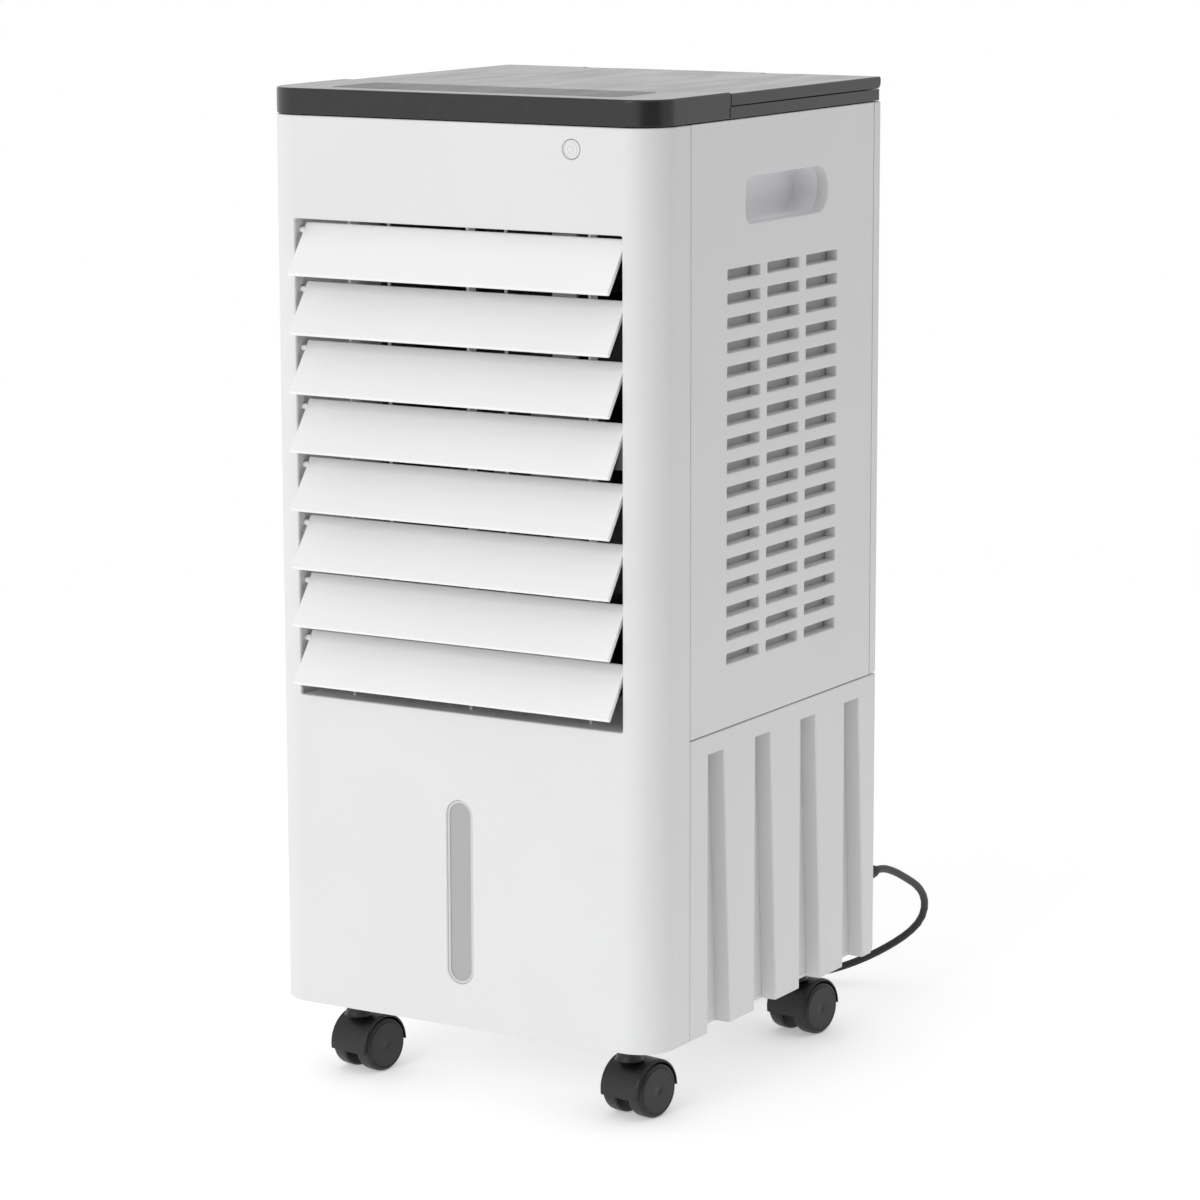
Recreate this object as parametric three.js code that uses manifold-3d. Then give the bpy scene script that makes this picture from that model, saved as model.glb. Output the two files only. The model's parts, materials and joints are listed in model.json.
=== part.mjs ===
// A small wheeled evaporative cooler: a white moulded case with eight louvre blades in front,
// a water tank that slides out of the back, a fan that draws air through a wet pad, and a
// black top with a flip-up filling lid. Millimetres, +Z up, front towards -Y.
import * as THREE from 'three';
import { mergeVertices } from 'three/addons/utils/BufferGeometryUtils.js';
import Module from 'manifold-3d';

const wasm = await Module();
wasm.setup();

// ---- Driving dimensions. Y counts back from the front face, Z up from the floor.
const bodyWidth = 250;
const bodyDepth = 258;
const casterHeight = 46;          // floor to the underside of the case
const caseHeight = 502.5;         // underside of the case to the underside of the black top
const topThickness = 14.5;
const wall = 2.5;
const gap = 0.3;                  // clearance between pieces that touch
const cornerRadius = 21;          // upright corners at the front
const shellWrap = 38;             // how far the front shell reaches round each side
const baseHeight = 169;           // side seam above the underside
const rearRim = 8;                // thickness of the rear cover and of the tank's end plate

const openingHalf = 104.5;        // louvre opening, half width
const openingLow = 178.6;         // louvre opening, above the underside
const openingHigh = 445.6;
const bladeCount = 8;
const bladePitch = 32.7;
const bladeHalf = 102.2;
const bladeReach = 11;            // how far the blades' lower edges stand in front of the case
const bladePivotY = 7;
const topPivotZ = casterHeight + 438.7;
const pivotRadius = 1.8;
const crankArm = 10;

const vanePitch = 77;
const vanePivotY = 66;
const vaneArm = 16;

const fanZ = 355;
const fanY = 128;
const fanRadius = 86;
const fanBlades = 20;

const stemX = 90;
const stemY = [32, 225];
const casterTrail = 8;            // axle behind the swivel stem
const casterTurn = -10;           // degrees the casters stand turned at rest
const wheelRadius = 15.5;

const lidPivotY = 254.5;
const lidPivotZ = 558.9;
const lidRadius = 3.4;
const lidSeamY = 81;

const cordRadius = 2.3;
const cordExit = [116, 258, 90.5];
const coilCentre = [8, 300];
const coilRadius = 25;            // middle of the turns
const coilColumns = 2;            // turns side by side
const coilLayers = 4;             // turns on top of each other

// ---- Derived levels.
const halfWidth = bodyWidth / 2;
const floorZ = casterHeight;
const seamZ = floorZ + baseHeight;
const caseTopZ = floorZ + caseHeight;
const crownZ = caseTopZ + topThickness;
const frontY = -(bodyDepth - bladeReach) / 2;
const inner = halfWidth - wall;

// ---- Finishes.
const finish = (color, roughness, metalness = 0) =>
  new THREE.MeshStandardMaterial({ color, roughness, metalness });
const whiteShell = finish(0xe9eaeb, 0.42);
const whiteBlade = finish(0xf4f5f6, 0.38);
const innerGrey = finish(0x2c2e30, 0.6);
const ribGrey = finish(0xb9bcbf, 0.5);
const blackGloss = finish(0x232425, 0.12);
const blackMatt = finish(0x1b1b1c, 0.5);
const rubberBlack = finish(0x161616, 0.8);
const clearWindow = finish(0xaeb1b3, 0.15);
const tankPlastic = finish(0xdfe3e4, 0.3);
const padBrown = finish(0x8a6a3f, 0.95);
const steel = finish(0xb4b6b8, 0.3, 1);
const boardGreen = finish(0x1e5a38, 0.6);
const hoseClear = finish(0xd5dadb, 0.3);
const motorGrey = finish(0x8d9194, 0.45, 0.6);

// ---- Shapes and solids.
const outline = (points) => new THREE.Shape(points.map(([a, b]) => new THREE.Vector2(a, b)));

// Radii in the order: low-low, high-low, high-high, low-high.
function rounded(a0, a1, b0, b1, [r0, r1, r2, r3]) {
  const shape = new THREE.Shape();
  shape.moveTo(a0 + r0, b0);
  shape.lineTo(a1 - r1, b0);
  if (r1) shape.absarc(a1 - r1, b0 + r1, r1, -Math.PI / 2, 0);
  shape.lineTo(a1, b1 - r2);
  if (r2) shape.absarc(a1 - r2, b1 - r2, r2, 0, Math.PI / 2);
  shape.lineTo(a0 + r3, b1);
  if (r3) shape.absarc(a0 + r3, b1 - r3, r3, Math.PI / 2, Math.PI);
  shape.lineTo(a0, b0 + r0);
  if (r0) shape.absarc(a0 + r0, b0 + r0, r0, Math.PI, 1.5 * Math.PI);
  return shape;
}

// A round bar's section, and a bore's, whose flats clear the stated radius.
function circle(a, b, radius, sides = 8) {
  const points = [];
  for (let i = 0; i < sides; i += 1) {
    const turn = (2 * Math.PI * (i + 0.5)) / sides;
    points.push([a + radius * Math.cos(turn), b + radius * Math.sin(turn)]);
  }
  return outline(points);
}
const bore = (a, b, radius, sides = 8) => circle(a, b, radius / Math.cos(Math.PI / sides), sides);

const upright = (a, b0, b1, r) => rounded(a - r, a + r, b0, b1, [r, r, r, r]);
const level = (a0, a1, b, r) => rounded(a0, a1, b - r, b + r, [r, r, r, r]);

// Hands a closed geometry to the solid modeller, without the slivers that a pole leaves.
function solidOf(geometry) {
  const bare = geometry.clone();
  bare.deleteAttribute('normal');
  bare.deleteAttribute('uv');
  const merged = mergeVertices(bare, 1e-4);
  const corners = merged.index.array;
  const kept = [];
  for (let i = 0; i < corners.length; i += 3) {
    const [a, b, c] = [corners[i], corners[i + 1], corners[i + 2]];
    if (a !== b && b !== c && c !== a) kept.push(a, b, c);
  }
  const mesh = { numProp: 3, vertProperties: merged.getAttribute('position').array,
    triVerts: new Uint32Array(kept) };
  return new wasm.Manifold(new wasm.Mesh(mesh));
}

const toX = new THREE.Matrix4().makeBasis(
  new THREE.Vector3(0, 1, 0), new THREE.Vector3(0, 0, 1), new THREE.Vector3(1, 0, 0));
const toY = new THREE.Matrix4().makeBasis(
  new THREE.Vector3(1, 0, 0), new THREE.Vector3(0, 0, 1), new THREE.Vector3(0, -1, 0));

function slab(shape, length, segments) {
  const settings = { depth: length, bevelEnabled: false, steps: 1, curveSegments: segments };
  return new THREE.ExtrudeGeometry(shape, settings);
}

// A flat shape carried along X, Y or Z: its own axes are (Y, Z), (X, Z) and (X, Y).
function alongX(shape, x0, x1, segments = 8) {
  return solidOf(slab(shape, x1 - x0, segments).applyMatrix4(toX).translate(x0, 0, 0));
}
function alongY(shape, y0, y1, segments = 8) {
  return solidOf(slab(shape, y1 - y0, segments).applyMatrix4(toY).translate(0, y1, 0));
}
function alongZ(shape, z0, z1, segments = 8) {
  return solidOf(slab(shape, z1 - z0, segments).translate(0, 0, z0));
}

function box(x0, x1, y0, y1, z0, z1) {
  const geometry = new THREE.BoxGeometry(x1 - x0, y1 - y0, z1 - z0);
  return solidOf(geometry.translate((x0 + x1) / 2, (y0 + y1) / 2, (z0 + z1) / 2));
}

// A profile of [radius, height] turned about an axis through (a, b).
function turnedZ(profile, x, y, segments = 20) {
  const points = profile.map(([r, h]) => new THREE.Vector2(r, h));
  return solidOf(new THREE.LatheGeometry(points, segments).rotateX(Math.PI / 2).translate(x, y, 0));
}
function turnedY(profile, x, z, segments = 20) {
  const points = profile.map(([r, h]) => new THREE.Vector2(r, h));
  return solidOf(new THREE.LatheGeometry(points, segments).translate(x, 0, z));
}
function turnedX(profile, y, z, segments = 20) {
  const points = profile.map(([r, h]) => new THREE.Vector2(r, h));
  return solidOf(new THREE.LatheGeometry(points, segments).rotateZ(-Math.PI / 2).translate(0, y, z));
}

// A round bar bent along a smooth curve through the points.
function tube(points, radius, steps, sides = 8) {
  const curve = new THREE.CatmullRomCurve3(points.map((p) => new THREE.Vector3(...p)), false,
    'centripetal');
  const settings = { steps, extrudePath: curve, curveSegments: sides / 4, bevelEnabled: false };
  const section = new THREE.Shape();
  for (let i = 0; i < sides; i += 1) {
    const turn = (2 * Math.PI * i) / sides;
    const corner = [radius * Math.cos(turn), radius * Math.sin(turn)];
    if (i === 0) section.moveTo(...corner);
    else section.lineTo(...corner);
  }
  return solidOf(new THREE.ExtrudeGeometry(section, settings));
}

const joined = (solids) => solids.reduce((whole, next) => whole.add(next));
const cut = (solid, tools) => tools.reduce((left, tool) => left.subtract(tool), solid);

function addPart(name, solid, material, parent = cooler) {
  const { vertProperties, triVerts } = solid.getMesh();
  const geometry = new THREE.BufferGeometry();
  geometry.setAttribute('position', new THREE.BufferAttribute(vertProperties, 3));
  geometry.setIndex(new THREE.BufferAttribute(triVerts, 1));
  geometry.computeVertexNormals();
  const mesh = new THREE.Mesh(geometry, material);
  mesh.name = name;
  parent.add(mesh);
  return mesh;
}

const cooler = new THREE.Group();
cooler.position.y = frontY;

// ---- Front shell: a U in plan with the louvre opening, the window slot and the receiver hole.
const windowLow = floorZ + 24.9;
const windowHigh = floorZ + 129.3;
const windowRadius = 8.3;
const receiverX = 73.5;
const receiverZ = floorZ + 490;

function shellPlan(reach, offset) {
  const r = cornerRadius - offset;
  const side = halfWidth - offset;
  return rounded(-side, side, offset, reach, [r, r, 0, 0]);
}

function frontShell() {
  const top = caseTopZ - gap;
  const hollow = alongZ(shellPlan(shellWrap + 1, wall), floorZ - 1, top + 1);
  return cut(alongZ(shellPlan(shellWrap, 0), floorZ, top), [
    hollow,
    box(-openingHalf, openingHalf, -1, wall + 1, floorZ + openingLow, floorZ + openingHigh),
    alongY(upright(0, windowLow, windowHigh, windowRadius), -1, wall + 1, 5),
    alongY(bore(receiverX, receiverZ, 5.4, 16), -1, wall + 1),
  ]);
}

function levelWindow() {
  const lens = windowRadius - gap;
  const edge = windowRadius + 2.7;
  const flange = upright(0, windowLow - 2.7, windowHigh + 2.7, edge);
  return alongY(upright(0, windowLow + gap, windowHigh - gap, lens), 1.3, wall + gap, 5)
    .add(alongY(flange, wall + gap - 0.1, wall + 2, 5));
}

function receiverLens() {
  const profile = [[0, 0.4], [5.1, 0.4], [5.1, 2.8], [7, 2.8], [7, 4.2], [0, 4.2]];
  return turnedY(profile, receiverX, receiverZ, 20);
}

addPart('front_shell', frontShell(), whiteShell);
addPart('level_window', levelWindow(), clearWindow);
addPart('receiver_lens', receiverLens(), clearWindow);

// ---- Side panels: a thin wall with a deep block of slots and a handle pocket.
const slotRows = 17;
const slotPitch = 13.21;
const slotHeight = 6;
const slotTop = floorZ + 421.9;
const slotLength = 37.2;
const slotColumns = [78.2, 123.4, 168.6];
const slotDepth = 6.8;
const handle = { y0: 98.2, y1: 194.2, z0: floorZ + 444.6, z1: floorZ + 470.6, depth: 22 };
const sideFront = shellWrap + gap;
const sideBack = bodyDepth - rearRim - gap;

// Turns a span measured outwards from the centre into low and high X on side +1 or -1.
const span = (side, a, b) => (side > 0 ? [a, b] : [-b, -a]);

function sidePanel(side) {
  const slotLow = slotTop - (slotRows - 1) * slotPitch - slotHeight;
  const margin = 4;
  const pocket = 2;
  const blocks = [
    box(...span(side, inner, halfWidth), sideFront, sideBack, seamZ + gap, caseTopZ - gap),
    box(...span(side, halfWidth - slotDepth, halfWidth - 0.5), slotColumns[0] - margin,
      slotColumns[2] + slotLength + margin, slotLow - margin, slotTop + margin),
    box(...span(side, halfWidth - handle.depth - pocket, halfWidth - 0.5), handle.y0 - pocket,
      handle.y1 + pocket, handle.z0 - pocket, handle.z1 + pocket),
  ];
  const cuts = [];
  for (let row = 0; row < slotRows; row += 1) {
    const high = slotTop - row * slotPitch;
    for (const y of slotColumns) {
      cuts.push(box(...span(side, halfWidth - slotDepth - 1, halfWidth + 1), y, y + slotLength,
        high - slotHeight, high));
    }
  }
  const grip = rounded(handle.y0, handle.y1, handle.z0, handle.z1, [7, 12.5, 12.5, 7]);
  cuts.push(alongX(grip, ...span(side, halfWidth - handle.depth, halfWidth + 1), 5));
  return cut(joined(blocks), cuts);
}

function sideLiner(side) {
  const back = halfWidth - slotDepth - gap;
  return box(...span(side, back - 1.8, back), 72, 212, floorZ + 197, floorZ + 428);
}

for (const [side, word] of [[1, 'right'], [-1, 'left']]) {
  addPart(`side_panel_${word}`, sidePanel(side), whiteShell);
  addPart(`side_liner_${word}`, sideLiner(side), ribGrey);
}

// ---- Base chassis: grooved side walls, a floor with four caster sockets and a rear frame.
const grooveFirst = 58;
const groovePitch = 53.7;
const grooveCount = 4;
const grooveTop = floorZ + 157.6;
const grooveDepth = 9.5;
const grooveWidths = { top: 17.5, bottom: 26 };
const tank = { half: 104, y0: 12, z0: 62, z1: 200, t: 2.4 };
const tankBay = { half: tank.half + gap, low: tank.z0 - gap, high: seamZ - 9 };

function grooveShape(front, extra) {
  const run = grooveTop - floorZ;
  const slope = (grooveWidths.bottom - grooveWidths.top) / run;
  const below = 1;
  const foot = front + grooveWidths.bottom + slope * below;
  return outline([[front - extra, floorZ - below], [foot + extra, floorZ - below],
    [front + grooveWidths.top + extra, grooveTop + extra], [front - extra, grooveTop + extra]]);
}

function baseChassis() {
  const topZ = seamZ - gap;
  const solids = [
    box(-inner, inner, sideFront, bodyDepth, floorZ, floorZ + 3),
    alongZ(shellPlan(sideFront + 1, wall + gap), floorZ, floorZ + 3),
    box(-halfWidth, halfWidth, bodyDepth - rearRim, bodyDepth, tankBay.high, topZ),
    box(-halfWidth, halfWidth, bodyDepth - rearRim, bodyDepth, floorZ, tankBay.low),
  ];
  const cuts = [];
  for (const side of [1, -1]) {
    solids.push(box(...span(side, inner, halfWidth), sideFront, bodyDepth, floorZ, topZ));
    solids.push(box(...span(side, tankBay.half, halfWidth), bodyDepth - rearRim, bodyDepth,
      floorZ, topZ));
    for (let i = 0; i < grooveCount; i += 1) {
      const front = grooveFirst + i * groovePitch;
      const backing = grooveShape(front, 1.8).getPoints().map((p) => [p.x, Math.max(p.y, floorZ)]);
      solids.push(alongX(outline(backing), ...span(side, halfWidth - grooveDepth - wall, halfWidth)));
      cuts.push(alongX(grooveShape(front, 0), ...span(side, halfWidth - grooveDepth, halfWidth + 1)));
    }
    for (const y of stemY) {
      solids.push(alongZ(circle(side * stemX, y, 8, 10), floorZ + 1, floorZ + 15));
      cuts.push(alongZ(bore(side * stemX, y, 4.3), floorZ - 1, floorZ + 13.5));
    }
  }
  const [x, , z] = cordExit;
  cuts.push(alongY(bore(x, z, 4.5, 12), bodyDepth - rearRim - 1, bodyDepth + 1));
  return cut(joined(solids), cuts);
}

addPart('base_chassis', baseChassis(), whiteShell);

// ---- Rear cover, its pull-off intake grille and the dust screen behind the grille.
const intake = { half: 97.6, z0: 239.6, z1: 498.4 };
const grilleRows = 20;
const grillePitch = 12;

function rearCover() {
  const low = seamZ + gap;
  const high = caseTopZ - gap;
  const back = bodyDepth;
  return cut(box(-halfWidth, halfWidth, back - rearRim, back, low, high), [
    box(-inner, inner, back - rearRim - 1, back - wall, low + wall, high - wall),
    box(-intake.half, intake.half, back - rearRim, back + 1, intake.z0, intake.z1),
  ]);
}

function rearGrille() {
  const edge = intake.half - gap;
  const plate = box(-edge, edge, bodyDepth - 6, bodyDepth, intake.z0 + gap, intake.z1 - gap);
  const pull = level(-28, 28, intake.z1 - 11, 7);
  const cuts = [alongY(pull, bodyDepth - 4, bodyDepth + 1, 4)];
  for (let row = 0; row < grilleRows; row += 1) {
    const z = intake.z0 + 8 + row * grillePitch;
    for (const x of [-88, 4]) {
      cuts.push(box(x, x + 84, bodyDepth - 7, bodyDepth + 1, z, z + 5));
    }
  }
  return cut(plate, cuts);
}

function dustScreen() {
  const [x1, z0, z1] = [95, 242, 496];
  const [y0, y1] = [247, bodyDepth - 6 - gap];
  const bars = [];
  for (const x of [-48, 0, 48]) bars.push(box(x - 1, x + 1, y0 + 1, y1 - 1, z0, z1));
  for (let row = 1; row < 6; row += 1) {
    const z = z0 + (row * (z1 - z0)) / 6;
    bars.push(box(-x1, x1, y0 + 1, y1 - 1, z - 1, z + 1));
  }
  const frame = box(-x1, x1, y0, y1, z0, z1)
    .subtract(box(5 - x1, x1 - 5, y0 - 1, y1 + 1, z0 + 5, z1 - 5));
  return joined([frame, ...bars]);
}

addPart('rear_cover', rearCover(), whiteShell);
addPart('rear_grille', rearGrille(), whiteShell);
addPart('dust_screen', dustScreen(), innerGrey);

// ---- Wet pad, its frame, the trickle tray above it and the ice tray under the filling lid.
const pad = { half: 102, y0: 199, y1: 238, z0: 222, z1: 499.6 };

function padFrame() {
  const t = 2.2;
  return box(-pad.half, pad.half, pad.y0, pad.y1, pad.z0, pad.z1)
    .subtract(box(t - pad.half, pad.half - t, pad.y0 - 1, pad.y1 + 1, pad.z0 + t, pad.z1 - t));
}

function coolingPad() {
  const t = 2.2 + gap;
  return box(t - pad.half, pad.half - t, pad.y0 + 1, pad.y1 - 1, pad.z0 + t, pad.z1 - t);
}

function waterDistributor() {
  const [z0, z1] = [pad.z1 + gap, 514];
  const t = 2;
  const cuts = [box(t - pad.half, pad.half - t, pad.y0 + t, pad.y1 - t, z0 + t, z1 + 1)];
  for (let i = -3; i <= 3; i += 1) {
    cuts.push(alongZ(bore(i * 26, (pad.y0 + pad.y1) / 2, 2.2, 6), z0 - 1, z0 + t + 1));
  }
  cuts.push(alongX(bore(217, 508, 3), -pad.half - 1, 1 - pad.half + t));
  return cut(box(-pad.half, pad.half, pad.y0, pad.y1, z0, z1), cuts);
}

const tray = { half: 93, y0: 104, y1: 231, z0: 520 };

function iceTray() {
  const high = caseTopZ - gap;
  const t = 2;
  const cuts = [box(t - tray.half, tray.half - t, tray.y0 + t, tray.y1 - t, tray.z0 + t, high + 1)];
  for (const x of [-60, -20, 20, 60]) {
    cuts.push(box(x - 2, x + 2, tray.y0 + 20, tray.y1 - 20, tray.z0 - 1, tray.z0 + t + 1));
  }
  const body = box(-tray.half, tray.half, tray.y0, tray.y1, tray.z0, high);
  return cut(body.add(box(-97, 97, tray.y0 - 4, tray.y1 + 4, high - 2, high)), cuts);
}

addPart('pad_frame', padFrame(), ribGrey);
addPart('cooling_pad', coolingPad(), padBrown);
addPart('water_distributor', waterDistributor(), tankPlastic);
addPart('ice_tray', iceTray(), tankPlastic);

// ---- Black top: a thick control panel in front, a thin frame behind it, and the filling lid.
const lugs = [-60, 60];
const lugHalf = 9.7;

function topPanel() {
  const low = caseTopZ + gap;
  const frameTop = lidPivotZ - lidRadius - gap;
  const plan = (back, rear) => rounded(-halfWidth, halfWidth, 0, back,
    [cornerRadius, cornerRadius, rear, rear]);
  const solids = [alongZ(plan(bodyDepth, 3), low, frameTop), alongZ(plan(lidSeamY, 0), low, crownZ)];
  for (const x of [-75, 75]) {
    for (const y of [20, 62]) solids.push(alongZ(circle(x, y, 3), 538.9, low + 1));
  }
  const cuts = [box(-tray.half + 2, tray.half - 2, tray.y0 + 2, tray.y1 - 2, low - 1, frameTop + 1)];
  for (const x of lugs) {
    solids.push(box(x - lugHalf, x + lugHalf, lidPivotY - 3.3, lidPivotY + 3.3, frameTop - 1, lidPivotZ));
    solids.push(alongX(circle(lidPivotY, lidPivotZ, 3.3, 12), x - lugHalf, x + lugHalf));
    cuts.push(alongX(bore(lidPivotY, lidPivotZ, 1.8), x - lugHalf - 1, x + lugHalf + 1));
  }
  return cut(joined(solids), cuts);
}

function fillLid() {
  const low = lidPivotZ - lidRadius;
  const high = lidPivotZ + lidRadius;
  const side = new THREE.Shape();
  side.moveTo(lidSeamY + gap + 0.2, low);
  side.lineTo(lidPivotY, low);
  side.absarc(lidPivotY, lidPivotZ, lidRadius, -Math.PI / 2, Math.PI / 2);
  side.lineTo(lidSeamY + gap + 0.2, high);
  const reach = lugHalf + gap;
  const cuts = lugs.map((x) => box(x - reach, x + reach, 250.3, bodyDepth + 1, low - 1, high + 1));
  cuts.push(alongX(bore(lidPivotY, lidPivotZ, 1.8), -halfWidth + 45, halfWidth - 45));
  return cut(alongX(side, -halfWidth, halfWidth, 5), cuts);
}

addPart('top_panel', topPanel(), blackGloss);
addPart('fill_lid', fillLid(), blackGloss);
addPart('lid_hinge_pin', alongX(circle(lidPivotY, lidPivotZ, 1.5), -76, 76), steel);
addPart('control_board', box(-85, 85, 14, 68, 537, 538.6), boardGreen);

// ---- Outlet duct: a square tube behind the front shell with bearings for blades and vanes.
const duct = { half: 107.3, z0: 221.5, z1: 494.7, y0: wall + 0.8, y1: 85.7 };
const clear = pivotRadius + gap;
const bladeZ = (index) => topPivotZ - index * bladePitch;

function outletDuct() {
  const mouth = openingHalf + gap;
  const [low, high] = [duct.z0 + 2.8, duct.z1 - 2.8];
  const hollow = box(-mouth, mouth, duct.y0 - 1, duct.y1 + 1, low, high);
  const tubeWall = box(-duct.half, duct.half, duct.y0, duct.y1, duct.z0, duct.z1).subtract(hollow);
  const ribs = [-vanePitch, 0, vanePitch]
    .map((x) => box(x - 0.8, x + 0.8, 13, 20, duct.z0 + 1, duct.z1 - 1));
  const cuts = [];
  for (let i = 0; i < bladeCount; i += 1) {
    const hole = bore(bladePivotY, bladeZ(i), clear);
    cuts.push(alongX(hole, -duct.half - 1, 1 - mouth));
    cuts.push(alongX(hole, mouth - 1, duct.half + 1));
  }
  for (const x of [-vanePitch, 0, vanePitch]) {
    cuts.push(alongZ(bore(x, vanePivotY, clear), duct.z0 - 1, low + 1));
    cuts.push(alongZ(bore(x, vanePivotY, clear), high - 1, duct.z1 + 1));
  }
  return cut(joined([tubeWall, ...ribs]), cuts);
}

addPart('outlet_duct', outletDuct(), ribGrey);

// ---- Louvre blades, each drawn about its own pivot and hung in the duct's cheeks.
const bladeTip = [-bladeReach - bladePivotY, -22.7];
const bladeHead = [2, 4.8];
const bladeBack = [1.94, -1.41];     // through the thickness, square to the face

function louvreBlade() {
  const [tip, head, back] = [bladeTip, bladeHead, bladeBack];
  const section = outline([tip, [tip[0] + 0.5 * back[0] - 0.7, tip[1] + 0.5 * back[1] - 0.9],
    [tip[0] + back[0], tip[1] + back[1]], [head[0] + back[0], head[1] + back[1]], head]);
  const armX = duct.half + gap;
  const crankX = armX + 2;
  return joined([
    alongX(section, -bladeHalf, bladeHalf),
    alongX(circle(0, 0, pivotRadius), -duct.half + 0.2, 1 - bladeHalf),
    alongX(circle(0, 0, pivotRadius), bladeHalf - 1, armX + 1),
    alongX(level(-2.6, crankArm + 2.6, 0, 2.6), armX, crankX, 1),
    alongX(circle(crankArm, 0, 1.4, 6), crankX - 0.5, crankX + 2.8),
  ]);
}

function louvreLinkBar() {
  const x0 = duct.half + gap + 2 + gap;
  const y = bladePivotY + crankArm;
  const low = bladeZ(bladeCount - 1) - 5;
  const cuts = [];
  for (let i = 0; i < bladeCount; i += 1) {
    cuts.push(alongX(bore(y, bladeZ(i), 1.7, 6), x0 - 1, x0 + 3));
  }
  return cut(box(x0, x0 + 2.2, y - 3, y + 3, low, bladeZ(0) + 5), cuts);
}

for (let i = 0; i < bladeCount; i += 1) {
  const blade = addPart(`louvre_blade_${i + 1}`, louvreBlade(), whiteBlade);
  blade.position.set(0, bladePivotY, bladeZ(i));
}
addPart('louvre_link_bar', louvreLinkBar(), innerGrey);

// ---- Swing vanes on upright pins, their link bar and the small motor under the middle one.
function swingVane(driven) {
  const [low, high] = [226, 490];
  const arm = vaneArm;
  return joined([
    box(-0.9, 0.9, -14, 10, low, high),
    box(-2.5, 2.5, 9, arm + 2.5, low, low + 4),
    alongZ(circle(0, arm, 1.2, 6), low + 3, low + 10.5),
    alongZ(circle(0, 0, pivotRadius), driven ? 213 : duct.z0 - 1, low + 1),
    alongZ(circle(0, 0, pivotRadius), high - 1, duct.z1 + 1),
  ]);
}

function swingLinkBar() {
  const y = vanePivotY + vaneArm;
  const holes = [-vanePitch, 0, vanePitch].map((x) => alongZ(bore(x, y, 1.5, 6), 229, 236));
  return cut(box(-vanePitch - 5, vanePitch + 5, y - 2.6, y + 2.6, 230.3, 234.3), holes);
}

function swingMotor() {
  const body = alongZ(circle(0, vanePivotY, 13, 14), 203.5, duct.z0 - gap);
  const ears = alongZ(level(-20, 20, vanePivotY, 4), 216, 218.5, 2);
  return body.add(ears).subtract(alongZ(bore(0, vanePivotY, clear), 212, duct.z0));
}

for (const [index, x] of [-vanePitch, 0, vanePitch].entries()) {
  const vane = addPart(`swing_vane_${index + 1}`, swingVane(x === 0), innerGrey);
  vane.position.set(x, vanePivotY, 0);
}
addPart('swing_link_bar', swingLinkBar(), innerGrey);
addPart('swing_motor', swingMotor(), motorGrey);

// ---- Fan: a box with a round inlet, a drum wheel, its motor and the cross that holds it.
const shroud = { half: 105, z0: 226, z1: 484, y0: 86, y1: 197 };

function fanShroud() {
  const t = 2.2;
  const outer = box(-shroud.half, shroud.half, shroud.y0, shroud.y1, shroud.z0, shroud.z1);
  return cut(outer, [
    box(t - shroud.half, shroud.half - t, shroud.y0 - 1, shroud.y1 - t, shroud.z0 + t, shroud.z1 - t),
    alongY(bore(0, fanZ, 72, 24), shroud.y1 - t - 1, shroud.y1 + 1),
  ]);
}

function motorMount() {
  const [y0, y1] = [114.3, 117.3];
  const reach = shroud.half - 2.5;
  return joined([
    box(-reach, reach, y0, y1, fanZ - 8, fanZ + 8),
    box(-8, 8, y0, y1, shroud.z0 + 2.5, shroud.z1 - 2.5),
    alongY(circle(0, fanZ, 30, 16), y0, y1),
  ]).subtract(alongY(bore(0, fanZ, 6), y0 - 1, y1 + 1));
}

function fanMotor() {
  const profile = [[0, 88], [22, 88], [36, 92], [36, 110], [22, 114], [4, 114], [4, 139], [0, 139]];
  return turnedY(profile, 0, fanZ, 16);
}

function blowerWheel() {
  const depth = 56;
  const solids = [
    alongY(circle(0, fanZ, fanRadius, 24), fanY, fanY + 2),
    alongY(circle(0, fanZ, 12, 10), fanY - 7, fanY + 12),
    alongY(circle(0, fanZ, fanRadius, 24), fanY + depth - 3, fanY + depth)
      .subtract(alongY(bore(0, fanZ, 73, 24), fanY + depth - 4, fanY + depth + 1)),
  ];
  for (let i = 0; i < fanBlades; i += 1) {
    const turn = (2 * Math.PI * i) / fanBlades;
    const blade = new THREE.BoxGeometry(13, depth - 2, 1.6);
    blade.rotateY(-0.6).translate(78.5, fanY + depth / 2, 0).rotateY(turn).translate(0, 0, fanZ);
    solids.push(solidOf(blade));
  }
  return joined(solids).subtract(alongY(bore(0, fanZ, 4.3), fanY - 8, fanY + 13));
}

addPart('fan_shroud', fanShroud(), innerGrey);
addPart('motor_mount', motorMount(), ribGrey);
addPart('fan_motor', fanMotor(), motorGrey);
addPart('blower_wheel', blowerWheel(), blackMatt);

// ---- Water tank that slides out of the back, its drain plug, and the pump that rides in it.
const drain = { x: 70, z: 77 };
const tankGrip = { half: 38, z0: 158, z1: 184, depth: 24 };

function waterTank() {
  const { half, y0, z0, z1, t } = tank;
  const back = bodyDepth - rearRim - gap;
  const tub = box(-half, half, y0, back, z0, z1)
    .subtract(box(t - half, half - t, y0 + t, back - t, z0 + t, z1 + 1));
  return cut(tub, [
    box(t - half, half - t, back - t - 1, back + 1, tankGrip.z0 - t - gap, z1 + 1),
    alongY(bore(drain.x, drain.z, 5.9, 12), back - t - 1, back + 1),
  ]);
}

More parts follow.
